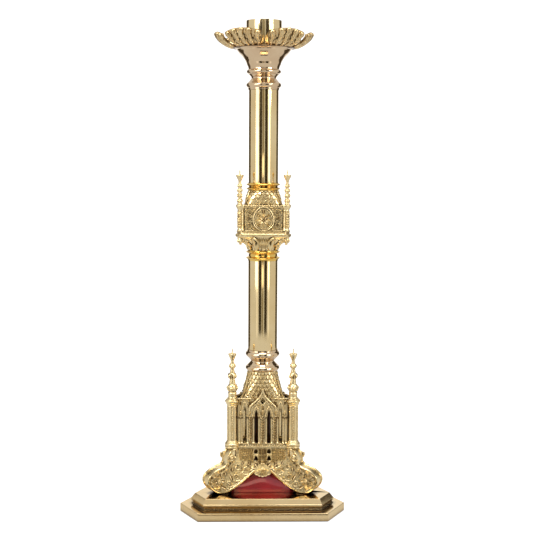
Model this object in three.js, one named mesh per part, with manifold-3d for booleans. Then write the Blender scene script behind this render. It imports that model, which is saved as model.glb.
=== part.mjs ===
// A single-light standing church candlestick in polished and gilt brass, three-sided in plan.
// Millimetres, +Z up. The origin is on the column's axis at the underside of the base.
// A side faces -Y (the front); the corners with the feet, piers and turrets point to
// azimuths -30, 90 and 210 degrees.
import * as THREE from "three";
import { mergeVertices } from "three/addons/utils/BufferGeometryUtils.js";
import Module from "manifold-3d";

const wasm = await Module();
wasm.setup();

// Driving dimensions ---------------------------------------------------------------------
const TOTAL_HEIGHT = 1118;
const GAP = 0.3; // clearance between castings that rest against each other
const ROD_RADIUS = 5;
const ROD_BORE = 5.5; // bore that the tie rod passes through
const COLLAR_BORE = 22; // inside radius of the hollow turnings

// Base: a triangle with cut corners, in two steps.
const BASE_SIDE = 465.4; // side of the sharp-cornered triangle
const BASE_CORNER_CUT = 86.2; // side of each corner piece that is cut off
const PAD_BOTTOM = 0;
const BOARD_BOTTOM = 1.5;
const PLINTH_BOTTOM = 0.8;
const BOARD_TOP = 3.5;
const LEDGE_Z = 19.5;
const LEDGE_WIDTH = 21.5;
const COVE_DEPTH = 3.5;
const COVE_TOP = 27.5;
const LIP_TOP = 32;
const UPPER_TOP = 43.5;
const UPPER_INSET = 30; // from the base's outline to the edge of the top flat
const SHEET = 2.5; // thickness of the plinth's sheet brass

// Tower
const TOWER_BOTTOM = 145.5;
const TOWER_DECK_TOP = 150;
const PIER_REACH = 81; // from the axis to the centre of each corner pier
const PIER_RADIUS = 11.3;
const PIER_FOOT = PIER_RADIUS + 5.5; // radius of its base moulding
const PIER_TOP = 261;
const PANEL_BACK = 40; // from the axis to the back of each tower panel
const PANEL_THICK = 5;
const PANEL_HALF = 57.5;
const CORNICE = 262; // top of the tower walls beside the gable
const GABLE_TOP = 284;
const LIGHT_WIDTH = 8.5;
const CORE_RADIUS = 20; // spacer tube round the tie rod inside the tower
const CORE_TOP = 307.4;
const PINNACLE_TOP = 378;
const PINNACLE_REACH = 80.8;
const ROOF_BOTTOM = 252;
const ROOF_TOP = 320;

// Column
const TUBE_RADIUS = 33.9;
const TUBE_BORE = 31.9;
const SPIGOT_RADIUS = 31.7;
const SEAT_RADIUS = 35.2; // of the turnings where they meet the tubes and castings
const LOWER_TUBE_Z = [369, 577];
const UPPER_TUBE_Z = [755, 964];

// Knop
const KNOP_BOTTOM = 601;
const KNOP_DECK = 646;
const TURRET_REACH = 58.2;
const TURRET_RADIUS = 7.8;
const TURRET_TOP = 706;
const KNOP_PANEL_BACK = 33.5;
const KNOP_PANEL_THICK = 4;
const KNOP_PANEL_HALF = 42.5;
const KNOP_PINNACLE_REACH = 62.1;
const KNOP_PINNACLE_TOP = 786;
const KNOP_ROOF_TOP = 738;

// Drip pan, leaves and socket
const CUP_BOTTOM = 1013;
const PAN_BOTTOM = 1056.3;
const PAN_TOP = 1059;
const PAN_RADIUS = 71;
const LEAF_COUNT = 6;
const LEAF_TIP_RADIUS = 112;
const SOCKET_RADIUS = 40.2;
const SOCKET_BORE = 38.4;
const SPIGOT_BOTTOM = 1030; // foot of the socket's locating spigot

const COLUMN_SEGMENTS = 32;
const SMALL_SEGMENTS = 14;
const SPIRE_SEGMENTS = 8;
const LOFT_COUNT = 24;

// Materials ------------------------------------------------------------------------------
const metal = (color, roughness) =>
  new THREE.MeshStandardMaterial({ color, roughness, metalness: 1 });
const polishedBrass = () => metal(0xd9b56a, 0.12);
const giltCasting = () => metal(0xe3c067, 0.32);
const orangeGilt = () => metal(0xe0a030, 0.2);
const roseBrass = () => metal(0xd8a878, 0.16);
const steel = () => metal(0x8f9296, 0.4);
const redEnamel = () =>
  new THREE.MeshStandardMaterial({ color: 0x8f1020, roughness: 0.15, metalness: 0 });
const greenFelt = () =>
  new THREE.MeshStandardMaterial({ color: 0x24402e, roughness: 0.95, metalness: 0 });

// Building helpers -----------------------------------------------------------------------
const radians = THREE.MathUtils.degToRad;
const root = new THREE.Group();

function addPiece(parent, name, geometry, material) {
  const mesh = new THREE.Mesh(geometry, material);
  mesh.name = name;
  parent.add(mesh);
  return mesh;
}

// A group turned about the vertical axis.
function turnedGroup(degrees) {
  const group = new THREE.Group();
  group.rotation.z = radians(degrees);
  root.add(group);
  return group;
}

// Lathe about +Z from [radius, z] pairs given counter-clockwise with the radius to the right.
function turned(points, segments) {
  const profile = points.map(([radius, z]) => new THREE.Vector2(radius, z));
  return new THREE.LatheGeometry(profile, segments).rotateX(Math.PI / 2);
}

// A turning from its outer profile (bottom to top), closed down an inner profile (top to bottom).
function turnedShell(outer, inner, segments = COLUMN_SEGMENTS) {
  return turned([...outer, ...inner, outer[0]], segments);
}

// An extrusion of an outline along +Z; the outline is a Shape or a list of [x, y] corners.
function plate(outline, thickness, curveSegments = 6) {
  const shape = outline instanceof THREE.Shape ? outline : polygon(outline);
  return new THREE.ExtrudeGeometry(shape, {
    depth: thickness,
    bevelEnabled: false,
    curveSegments,
  });
}

// A plate with holes cut right through it, each given as a Shape.
function piercedPlate(outline, thickness, holes, curveSegments = 6) {
  const punches = holes.map((hole) =>
    plate(hole, thickness + 2, curveSegments).translate(0, 0, -1),
  );
  return cut(plate(outline, thickness, curveSegments), ...punches);
}

function polygon(points) {
  return new THREE.Shape(points.map(([x, y]) => new THREE.Vector2(x, y)));
}

const disc = (radius) => new THREE.Shape().absarc(0, 0, radius, 0, 2 * Math.PI);

// Stands an x-z drawing upright, with its thickness going from y = front towards +Y.
function upright(geometry, front, thickness) {
  return geometry.rotateX(Math.PI / 2).translate(0, front + thickness, 0);
}

// Six corners of a triangle with cut corners. side is the distance from the axis to each
// side (one side faces -Y) and corner is the distance to the face of each cut corner.
function cutTriangle(side, corner) {
  const points = [];
  for (let k = 0; k < 3; k += 1) {
    const sideAngle = radians(-90 + 120 * k);
    const half = (2 * corner - side) / Math.sqrt(3);
    for (const along of [-half, half]) {
      points.push([
        side * Math.cos(sideAngle) - along * Math.sin(sideAngle),
        side * Math.sin(sideAngle) + along * Math.cos(sideAngle),
      ]);
    }
  }
  return points;
}

// The base's outline moved inwards by an inset.
const baseSide = BASE_SIDE / (2 * Math.sqrt(3));
const baseCorner = BASE_SIDE / Math.sqrt(3) - (BASE_CORNER_CUT * Math.sqrt(3)) / 2;
const baseOutline = (inset) => cutTriangle(baseSide - inset, baseCorner - inset);

// A ring of points that blends the cut triangle with a circle; roundness goes from 0 to 1.
function softTriangle(side, corner, radius, roundness, count) {
  const ring = [];
  for (let i = 0; i < count; i += 1) {
    const angle = radians(-90 + (360 * i) / count);
    const turn = ((((i * 360) / count + 60) % 120) - 60);
    const toSide = side / Math.cos(radians(turn));
    const toCorner = corner / Math.cos(radians(60 - Math.abs(turn)));
    const reach = THREE.MathUtils.lerp(Math.min(toSide, toCorner), radius, roundness);
    ring.push([reach * Math.cos(angle), reach * Math.sin(angle)]);
  }
  return ring;
}

// A closed skin through rings of points of one length; each ring is { z, points }. The last
// ring joins the first, so the rings go up the outside and down the inside.
function loftedTube(rings) {
  const count = rings[0].points.length;
  const positions = rings.flatMap(({ z, points }) => points.flatMap(([x, y]) => [x, y, z]));
  const indices = [];
  rings.forEach((ring, level) => {
    const here = level * count;
    const next = ((level + 1) % rings.length) * count;
    for (let i = 0; i < count; i += 1) {
      const j = (i + 1) % count;
      indices.push(here + i, here + j, next + j, here + i, next + j, next + i);
    }
  });
  const geometry = new THREE.BufferGeometry();
  geometry.setAttribute("position", new THREE.Float32BufferAttribute(positions, 3));
  geometry.setIndex(indices);
  return geometry;
}

function toSolid(geometry) {
  const bare = geometry.index ? geometry.toNonIndexed() : geometry.clone();
  bare.deleteAttribute("normal");
  bare.deleteAttribute("uv");
  const merged = mergeVertices(bare, 1e-3);
  return new wasm.Manifold(
    new wasm.Mesh({
      numProp: 3,
      vertProperties: merged.attributes.position.array,
      triVerts: new Uint32Array(merged.index.array),
    }),
  );
}

function toGeometry(solid) {
  const mesh = solid.getMesh();
  const geometry = new THREE.BufferGeometry();
  geometry.setAttribute("position", new THREE.BufferAttribute(mesh.vertProperties, mesh.numProp));
  geometry.setIndex(new THREE.BufferAttribute(mesh.triVerts, 1));
  return geometry;
}

const joined = (...geometries) =>
  toGeometry(geometries.map(toSolid).reduce((whole, solid) => whole.add(solid)));
const cut = (geometry, ...tools) =>
  toGeometry(tools.map(toSolid).reduce((whole, solid) => whole.subtract(solid), toSolid(geometry)));

// The three sides and the three corners, each with the turn that brings the front drawing there.
const SIDES = [
  ["front", 0],
  ["right", 120],
  ["left", -120],
];
const CORNERS = [
  ["right", 60],
  ["left", -60],
  ["rear", 180],
];

// Base -----------------------------------------------------------------------------------
function makeBase() {
  const padInset = 6;
  const boardInset = SHEET + GAP;
  const pad = plate(baseOutline(padInset), BOARD_BOTTOM - PAD_BOTTOM);
  addPiece(root, "base_felt_pad", pad, greenFelt());
  const board = plate(baseOutline(boardInset), BOARD_TOP - BOARD_BOTTOM);
  addPiece(root, "base_closing_plate", board.translate(0, 0, BOARD_BOTTOM), steel());

  const lowerOutside = plate(baseOutline(0), LEDGE_Z - PLINTH_BOTTOM);
  const hollowHeight = LEDGE_Z - SHEET - PLINTH_BOTTOM;
  const lowerHollow = plate(baseOutline(SHEET), hollowHeight + 1).translate(0, 0, -1);
  const lowerMouth = plate(baseOutline(LEDGE_WIDTH + COVE_DEPTH + SHEET + 2), LEDGE_Z + SHEET);
  const lower = cut(lowerOutside, lowerHollow, lowerMouth).translate(0, 0, PLINTH_BOTTOM);
  addPiece(root, "base_plinth_lower", lower, polishedBrass());

  const ring = (inset, z) => ({ z, points: baseOutline(inset) });
  const hole = { points: cutTriangle(ROD_BORE, ROD_BORE * 1.2) };
  const upper = loftedTube([
    ring(LEDGE_WIDTH, LEDGE_Z),
    ring(LEDGE_WIDTH + COVE_DEPTH, LEDGE_Z + 3),
    ring(LEDGE_WIDTH + COVE_DEPTH, COVE_TOP - 1.5),
    ring(LEDGE_WIDTH, COVE_TOP),
    ring(LEDGE_WIDTH, LIP_TOP),
    ring(UPPER_INSET, UPPER_TOP),
    { z: UPPER_TOP, points: hole.points },
    { z: UPPER_TOP - SHEET, points: hole.points },
    ring(UPPER_INSET + SHEET, UPPER_TOP - SHEET),
    ring(LEDGE_WIDTH + COVE_DEPTH + SHEET, LIP_TOP),
    ring(LEDGE_WIDTH + COVE_DEPTH + SHEET, LEDGE_Z),
  ]);
  addPiece(root, "base_plinth_upper", upper, polishedBrass());
}

// The tie rod runs up the whole column; a nut at each end draws the pieces together.
function makeTieRod() {
  const lowerWasherTop = UPPER_TOP - SHEET - GAP;
  const lowerWasherBottom = lowerWasherTop - 2;
  const nutHeight = 8;
  const nutReach = 9.8;
  const rodBottom = lowerWasherBottom - nutHeight - 6;
  const headPlate = CUP_BOTTOM + 4;
  const rodTop = headPlate + 2 + nutHeight + 2;
  const rod = turned(
    [
      [0, rodBottom],
      [ROD_RADIUS - 1, rodBottom],
      [ROD_RADIUS, rodBottom + 1],
      [ROD_RADIUS, rodTop - 1],
      [ROD_RADIUS - 1, rodTop],
      [0, rodTop],
    ],
    SMALL_SEGMENTS,
  );
  addPiece(root, "tie_rod", rod, steel());

  const washerAt = (z, radius) =>
    piercedPlate(disc(radius), 2, [disc(ROD_BORE)]).translate(0, 0, z);
  const hexagon = [0, 1, 2, 3, 4, 5].map((k) => [
    nutReach * Math.cos((k * Math.PI) / 3),
    nutReach * Math.sin((k * Math.PI) / 3),
  ]);
  const nutAt = (z) => piercedPlate(hexagon, nutHeight, [disc(ROD_BORE)]).translate(0, 0, z);
  addPiece(root, "rod_washer_lower", washerAt(lowerWasherBottom, 20), steel());
  addPiece(root, "rod_nut_lower", nutAt(lowerWasherBottom - nutHeight), steel());
  addPiece(root, "rod_washer_upper", washerAt(headPlate, 16), steel());
  addPiece(root, "rod_nut_upper", nutAt(headPlate + 2), steel());
}

// The red enamelled three-sided dome under the arches.
function makeDome() {
  const wall = 3;
  const dome = (side, corner, radius, roundness, z) => ({
    z,
    points: softTriangle(side, corner, radius, roundness, LOFT_COUNT),
  });
  const bottom = UPPER_TOP;
  const outside = [
    dome(59, 96, 70, 0, bottom),
    dome(58, 94, 70, 0, bottom + 12),
    dome(51, 82, 62, 0.15, bottom + 32),
    dome(40, 64, 50, 0.4, bottom + 52),
    dome(26, 40, 36, 0.7, bottom + 68),
    dome(14, 20, 20, 1, bottom + 76),
  ];
  const bore = (z) => dome(14, 20, ROD_BORE, 1, z);
  const inside = [
    dome(14, 20, 18, 1, bottom + 76 - wall),
    dome(23, 37, 33, 0.7, bottom + 68 - wall),
    dome(36, 60, 46, 0.4, bottom + 52 - wall),
    dome(47, 78, 58, 0.15, bottom + 32 - wall),
    dome(55, 91, 67, 0, bottom + 12),
    dome(56, 93, 67, 0, bottom),
  ];
  const rings = [...outside, bore(bottom + 76), bore(bottom + 76 - wall), ...inside];
  addPiece(root, "red_dome", loftedTube(rings), redEnamel());
}

// Feet and arches ------------------------------------------------------------------------
// The scrolled foot in its radial plane: x is the distance from the axis, y is the height.
function footOutline() {
  const foot = new THREE.Shape();
  foot.moveTo(74, TOWER_BOTTOM - GAP);
  foot.lineTo(86, TOWER_BOTTOM - GAP);
  foot.bezierCurveTo(96, 139, 101, 129, 101, 117);
  foot.bezierCurveTo(101, 108, 113, 107, 123, 104);
  foot.bezierCurveTo(138, 98, 152, 91, 152, 77);
  foot.bezierCurveTo(151, 63, 132, UPPER_TOP, 113, UPPER_TOP);
  foot.lineTo(98, UPPER_TOP);
  foot.bezierCurveTo(104, 62, 96, 86, 90, 98);
  foot.bezierCurveTo(85, 109, 80, 117, 74, 124);
  foot.closePath();
  return foot;
}

const FOOT_HALF_WIDTH = 15;
const EAR_REACH = 93;
const EAR_Z = 127;

function footBody(halfWidth) {
  return plate(footOutline(), 2 * halfWidth)
    .translate(0, 0, -halfWidth)
    .rotateX(Math.PI / 2)
    .rotateZ(-Math.PI / 2);
}

// The ear is a small volute on each flank of the foot.
function footEar(side) {
  return new THREE.CylinderGeometry(9, 9, 8, SMALL_SEGMENTS)
    .rotateZ(Math.PI / 2)
    .translate(side * (FOOT_HALF_WIDTH + 3), -EAR_REACH, EAR_Z);
}

function makeFeet() {
  for (const [place, turn] of CORNERS) {
    const foot = joined(footBody(FOOT_HALF_WIDTH), footEar(-1), footEar(1));
    addPiece(turnedGroup(turn), "foot_" + place, foot, giltCasting());
  }
}

// One arched side of the casting between two feet, leaning out towards its lower edge.
function archOutline() {
  const arch = new THREE.Shape();
  arch.moveTo(-62, TOWER_BOTTOM);
  arch.lineTo(-100, UPPER_TOP + 3);
  arch.lineTo(-86, UPPER_TOP + 4);
  arch.quadraticCurveTo(-62, 56, -20, 94);
  arch.quadraticCurveTo(-14, 84, 0, 83);
  arch.quadraticCurveTo(14, 84, 20, 94);
  arch.quadraticCurveTo(62, 56, 86, UPPER_TOP + 4);
  arch.lineTo(100, UPPER_TOP + 3);
  arch.lineTo(62, TOWER_BOTTOM);
  arch.closePath();
  return arch;
}

// A pierced light of the skirt: a pointed eye above a slot that widens downwards.
function skirtLight(x) {
  const eye = [
    [x - 4, 132],
    [x + 4, 132],
    [x + 4, 139],
    [x, 143],
    [x - 4, 139],
  ];
  const slot = [
    [x - 5.2, 114.5],
    [x + 5.2, 114.5],
    [x + 2.4, 127.5],
    [x - 2.4, 127.5],
  ];
  return [polygon(eye), polygon(slot)];
}

function makeArches() {
  const thick = 6;
  const topFront = PANEL_BACK + PANEL_THICK - GAP; // reach of the arch's face at its top
  const lean = 0.3; // how far the arch comes out for each millimetre down
  const lights = [-15, 15].flatMap(skirtLight);
  for (const [place, turn] of SIDES) {
    const drawn = piercedPlate(archOutline(), thick, lights, 4);
    const arch = upright(drawn, -topFront, thick);
    const position = arch.attributes.position;
    for (let i = 0; i < position.count; i += 1) {
      const drop = TOWER_BOTTOM - position.getZ(i);
      position.setY(i, position.getY(i) - lean * drop);
    }
    const feet = [60, -60].map((angle) => footBody(FOOT_HALF_WIDTH + GAP).rotateZ(radians(angle)));
    const ears = [60, -60].flatMap((angle) =>
      [-1, 1].map((side) => footEar(side).translate(side * GAP, 0, 0).rotateZ(radians(angle))),
    );
    addPiece(turnedGroup(turn), "arch_" + place, cut(arch, ...feet, ...ears), giltCasting());
  }
}

// Tower ----------------------------------------------------------------------------------
function makeTowerDeck() {
  const thick = TOWER_DECK_TOP - TOWER_BOTTOM;
  const outline = cutTriangle(PANEL_BACK + PANEL_THICK + 4, PIER_REACH + 5);
  const floor = piercedPlate(outline, thick, [disc(ROD_BORE)]);
  const lobes = CORNERS.map(([, turn]) =>
    plate(disc(PIER_FOOT), thick).translate(0, -PIER_REACH, 0).rotateZ(radians(turn)),
  );
  const deck = joined(floor, ...lobes).translate(0, 0, TOWER_BOTTOM);
  addPiece(root, "tower_deck", deck, giltCasting());
}

// The plain tube that stands round the tie rod between the tower's floor and its roof.
function makeTowerCore() {
  const bore = CORE_RADIUS - 2;
  const core = turnedShell(
    [
      [bore, TOWER_DECK_TOP],
      [CORE_RADIUS, TOWER_DECK_TOP],
      [CORE_RADIUS, CORE_TOP],
    ],
    [[bore, CORE_TOP]],
    SMALL_SEGMENTS,
  );
  addPiece(root, "tower_core_tube", core, polishedBrass());
}

// A pointed light: a slot with a pointed head.
function lancet(x, bottom, springing, top, width) {
  const half = width / 2;
  const hole = new THREE.Shape();
  hole.moveTo(x - half, bottom);
  hole.lineTo(x + half, bottom);
  hole.lineTo(x + half, springing);
  hole.quadraticCurveTo(x + half, (springing + 2 * top) / 3, x, top);
  hole.quadraticCurveTo(x - half, (springing + 2 * top) / 3, x - half, springing);
  hole.closePath();
  return hole;
}

function quatrefoil(x, y, radius) {
  const hole = new THREE.Shape();
  const lobe = radius / 2;
  for (let k = 0; k < 4; k += 1) {
    const angle = (k * Math.PI) / 2;
    const centreX = x + lobe * Math.cos(angle);
    const centreY = y + lobe * Math.sin(angle);
    hole.absarc(centreX, centreY, lobe, angle - Math.PI / 2, angle + Math.PI / 2, false);
  }
  return hole;
}

// A tower panel with its cornice and the ogee gable over the middle pair of lights.
function towerPanelOutline() {
  const panel = new THREE.Shape();
  panel.moveTo(-PANEL_HALF, TOWER_DECK_TOP);
  panel.lineTo(PANEL_HALF, TOWER_DECK_TOP);
  panel.lineTo(PANEL_HALF, CORNICE);
  panel.lineTo(24, CORNICE);
  panel.quadraticCurveTo(8, CORNICE + 4, 3, GABLE_TOP - 4);
  panel.lineTo(0, GABLE_TOP);
  panel.lineTo(-3, GABLE_TOP - 4);
  panel.quadraticCurveTo(-8, CORNICE + 4, -24, CORNICE);
  panel.lineTo(-PANEL_HALF, CORNICE);
  panel.closePath();
  return panel;
}

function makeTowerPanels() {
  for (const [place, turn] of SIDES) {
    const sill = TOWER_DECK_TOP + 5;
    const inner = [-14.6, 14.6].map((x) => lancet(x, sill, 219, 235, LIGHT_WIDTH));
    const outer = [-41, 41].map((x) => lancet(x, sill, 227, 243, LIGHT_WIDTH));
    const holes = [...inner, ...outer, quatrefoil(0, 255, 6)];
    const panel = piercedPlate(towerPanelOutline(), PANEL_THICK, holes, 3);
    const stood = upright(panel, -PANEL_BACK - PANEL_THICK, PANEL_THICK);
    addPiece(turnedGroup(turn), "tower_panel_" + place, stood, giltCasting());
  }
}

function makeTowerPiers() {
  const bottom = TOWER_DECK_TOP;
  const profile = [
    [0, bottom],
    [PIER_FOOT - 1, bottom],
    [PIER_FOOT, bottom + 3],
    [PIER_FOOT, bottom + 7],
    [PIER_RADIUS, bottom + 12],
    [PIER_RADIUS, 246],
    [PIER_RADIUS + 4.5, 252],
    [PIER_RADIUS + 4.5, 258],
    [PIER_RADIUS + 2, PIER_TOP],
    [0, PIER_TOP],
  ];
  for (const [place, turn] of CORNERS) {
    const pier = turned(profile, SMALL_SEGMENTS).translate(0, -PIER_REACH, 0);
    const panels = [60, -60].map((angle) =>
      new THREE.BoxGeometry(2 * (PANEL_HALF + GAP), PANEL_THICK + 2 * GAP, 2 * PIER_TOP)
        .translate(0, -PANEL_BACK - PANEL_THICK / 2, PIER_TOP)
        .rotateZ(radians(angle)),
    );
    addPiece(turnedGroup(turn), "tower_pier_" + place, cut(pier, ...panels), giltCasting());
  }
}

// A ball of a turned spire, as points up its outer profile.
function ballPoints(z, radius, neck) {
  const rise = radius * 0.75;
  return [
    [neck, z - rise],
    [radius, z - rise / 3],
    [radius, z + rise / 3],
    [neck, z + rise],
  ];
}

function makePinnacles() {
  const profile = [
    [0, PIER_TOP],
    [11, PIER_TOP],
    [11, PIER_TOP + 11],
    [9, PIER_TOP + 15],
    ...ballPoints(286.5, 13.6, 9),
    [6.5, 302],
    ...ballPoints(314.5, 11, 6.5),
    [4.6, 328],
    ...ballPoints(337.2, 8.5, 4.6),
    [3.8, 348],
    [4.6, 354],
    [9.2, 364],
    [3, 367],
    [2.5, 372],
    [0, PINNACLE_TOP],
  ];
  for (const [place, turn] of CORNERS) {
    const pinnacle = turned(profile, SPIRE_SEGMENTS).translate(0, -PINNACLE_REACH, 0);
    addPiece(turnedGroup(turn), "tower_pinnacle_" + place, pinnacle, giltCasting());
  }
}

// A tiled roof that goes from the cut triangle to a round top, as a shell of even thickness.
function roofShell(levels, topBore, wall) {
  const ringAt = ([z, side, corner, radius, roundness], inset) => ({
    z,
    points: softTriangle(side - inset, corner - inset, radius - inset, roundness, LOFT_COUNT),
  });
  const outside = levels.map((level) => ringAt(level, 0));
  const [topZ] = levels[levels.length - 1];
  const bore = (z) => ({ z, points: softTriangle(1, 1, topBore, 1, LOFT_COUNT) });
  const inside = levels
    .slice(0, -1)
    .reverse()
    .map((level) => ringAt(level, wall));
  return loftedTube([...outside, bore(topZ), bore(topZ - wall), ...inside]);
}

function makeTowerRoof() {
  const levels = [
    [ROOF_BOTTOM, 39.6, 59, 48, 0],
    [ROOF_BOTTOM + 12, 38.4, 53, 45, 0.1],
    [ROOF_BOTTOM + 30, 36.8, 46, 41, 0.3],
    [ROOF_BOTTOM + 48, 35.6, 41, 37.6, 0.65],
    [ROOF_TOP, 35, 37, SEAT_RADIUS, 1],
  ];
  addPiece(root, "tower_roof", roofShell(levels, ROD_BORE, 3.5), giltCasting());
}

// Column ---------------------------------------------------------------------------------
// The bore of a hollow turning, from its top down, with a web at one height round the tie rod.
const boredInside = (top, webTop, webBottom, bottom) => [
  [COLLAR_BORE, top],
  [COLLAR_BORE, webTop],
  [ROD_BORE, webTop],
  [ROD_BORE, webBottom],
  [COLLAR_BORE, webBottom],
  [COLLAR_BORE, bottom],
];

// Rounded ring of a turning, as points up its outer profile.
function torusPoints(z, radius, half, rootRadius) {
  return [
    [rootRadius, z - half],
    [radius, z - half / 3],
    [radius, z + half / 3],
    [rootRadius, z + half],
  ];
}

function makeLowerCollar() {
  const top = LOWER_TUBE_Z[0];
  const outside = [
    [SEAT_RADIUS, ROOF_TOP],
    ...torusPoints(326, 39.5, 6, SEAT_RADIUS + 2),
    [33.6, 334],
    [29, 337.5],
    [27.4, 342],
    [29, 346.5],
    [33.6, 350.5],
    ...torusPoints(358.6, 39.5, 6.6, SEAT_RADIUS + 2),
    [SEAT_RADIUS, 367],
    [SEAT_RADIUS, top],
    [SPIGOT_RADIUS, top],
    [SPIGOT_RADIUS, top + 12],
  ];
  const collar = turnedShell(outside, boredInside(top + 12, 346, 338, ROOF_TOP));
  addPiece(root, "collar_lower", collar, roseBrass());
}

function tube([bottom, top]) {
  return turnedShell(
    [
      [TUBE_BORE, bottom],
      [TUBE_RADIUS, bottom],
      [TUBE_RADIUS, top],
    ],
    [[TUBE_BORE, top]],
  );
}

// A waisted ring between the tube and the knop, with a spigot into the tube.
function waistedRing(flanges, waist, bottom, top) {
  const [lowFlange, highFlange] = flanges;
  const middle = (lowFlange + highFlange) / 2;
  return [
    [SEAT_RADIUS, bottom],
    ...torusPoints(lowFlange, 39, 2.9, SEAT_RADIUS + 1.5),
    [waist, middle - 1.5],
    [waist, middle + 1.5],
    ...torusPoints(highFlange, 39, 2.9, SEAT_RADIUS + 1.5),
    [SEAT_RADIUS, top],
  ];
}

function makeColumn() {
  addPiece(root, "tube_lower", tube(LOWER_TUBE_Z), polishedBrass());
  addPiece(root, "tube_upper", tube(UPPER_TUBE_Z), polishedBrass());

  const low = LOWER_TUBE_Z[1];
  const lowerRing = [
    [SPIGOT_RADIUS, low - 12],
    [SPIGOT_RADIUS, low],
    ...waistedRing([582.6, 596.6], 33.3, low, KNOP_BOTTOM),
  ];
  const lowerBore = boredInside(KNOP_BOTTOM, 592, 586, low - 12);
  addPiece(root, "knop_ring_lower", turnedShell(lowerRing, lowerBore), orangeGilt());

  const high = UPPER_TUBE_Z[0];
  const upperRing = [
    ...waistedRing([741.5, 751], 33.2, KNOP_ROOF_TOP, high),
    [SPIGOT_RADIUS, high],
    [SPIGOT_RADIUS, high + 12],
  ];
  const upperBore = boredInside(high + 12, 749, 743, KNOP_ROOF_TOP);
  addPiece(root, "knop_ring_upper", turnedShell(upperRing, upperBore), orangeGilt());

  const collarFoot = UPPER_TUBE_Z[1];
  const upperCollar = [
    [SPIGOT_RADIUS, collarFoot - 12],
    [SPIGOT_RADIUS, collarFoot],
    [SEAT_RADIUS, collarFoot],
    [SEAT_RADIUS, 967],
    ...torusPoints(975, 39.8, 6, SEAT_RADIUS + 2),
    [32.4, 984],
    [28.2, 991],
    [32.4, 998],
    ...torusPoints(1005, 39, 5, SEAT_RADIUS + 2),
    [SEAT_RADIUS, CUP_BOTTOM],
  ];
  const collarBore = boredInside(CUP_BOTTOM, 994, 988, collarFoot - 12);
  addPiece(root, "collar_upper", turnedShell(upperCollar, collarBore), roseBrass());
}

// Knop -----------------------------------------------------------------------------------
const KNOP_SIDE = KNOP_PANEL_BACK + KNOP_PANEL_THICK;

function makeKnopBell() {
  const ring = (side, corner, radius, roundness, z) => ({
    z,
    points: softTriangle(side, corner, radius, roundness, LOFT_COUNT),
  });
  const bell = [
    ring(32, 32, 31.8, 1, KNOP_BOTTOM),
    ring(33, 35, 32.4, 1, KNOP_BOTTOM + 5),
    ring(35, 41, 37, 0.9, KNOP_BOTTOM + 12),
    ring(37, 49, 41, 0.6, KNOP_BOTTOM + 20),
    ring(40, 60, 46, 0.25, KNOP_BOTTOM + 28),
    ring(43, 67.5, 54, 0, KNOP_BOTTOM + 33),
    ring(43, 67.5, 54, 0, KNOP_BOTTOM + 38),
    ring(41, 64, 54, 0, KNOP_DECK - 3),
    ring(42, 65, 54, 0, KNOP_DECK),
  ];
  const bore = (radius, z) => ring(1, 1, radius, 1, z);
  const inside = [
    bore(ROD_BORE, KNOP_DECK),
    bore(ROD_BORE, KNOP_DECK - 4),
    ring(35, 56, 46, 0.2, KNOP_DECK - 4),
    ring(34, 40, 36, 0.8, KNOP_BOTTOM + 20),
    bore(29, KNOP_BOTTOM + 10),
    bore(COLLAR_BORE + 4, KNOP_BOTTOM),
  ];
  // A leafy drop hangs under each corner.
  const drop = turned(
    [
      [0, KNOP_BOTTOM + 13],
      [3.5, KNOP_BOTTOM + 14],
      [6.5, KNOP_BOTTOM + 19],
      [8, KNOP_BOTTOM + 25],
      [8, KNOP_BOTTOM + 34],
      [0, KNOP_BOTTOM + 34],
    ],
    SMALL_SEGMENTS,
  ).translate(0, -TURRET_REACH - 2, 0);
  const drops = CORNERS.map(([, turn]) => drop.clone().rotateZ(radians(turn)));
  const calyx = joined(loftedTube([...bell, ...inside]), ...drops);
  addPiece(root, "knop_bell", calyx, giltCasting());
}

function makeKnopPanels() {
  const sill = KNOP_DECK;
  const cornice = TURRET_TOP - 1;
  for (const [place, turn] of SIDES) {
    const field = plate(
      [
        [-KNOP_PANEL_HALF, sill],
        [KNOP_PANEL_HALF, sill],
        [KNOP_PANEL_HALF, cornice],
        [-KNOP_PANEL_HALF, cornice],
      ],
      KNOP_PANEL_THICK,
    );
    const centre = sill + 26.3;
    const medallion = [];
    for (let k = 0; k < 8; k += 1) {
      const angle = radians(22.5 + 45 * k);
      medallion.push([24 * Math.cos(angle), centre + 25.5 * Math.sin(angle)]);
    }
    const raised = plate(medallion, 2.4);
    const panel = joined(
      upright(field, -KNOP_SIDE, KNOP_PANEL_THICK),
      upright(raised, -KNOP_SIDE - 2, 2.4),
    );
    addPiece(turnedGroup(turn), "knop_panel_" + place, panel, giltCasting());
  }
}

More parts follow.
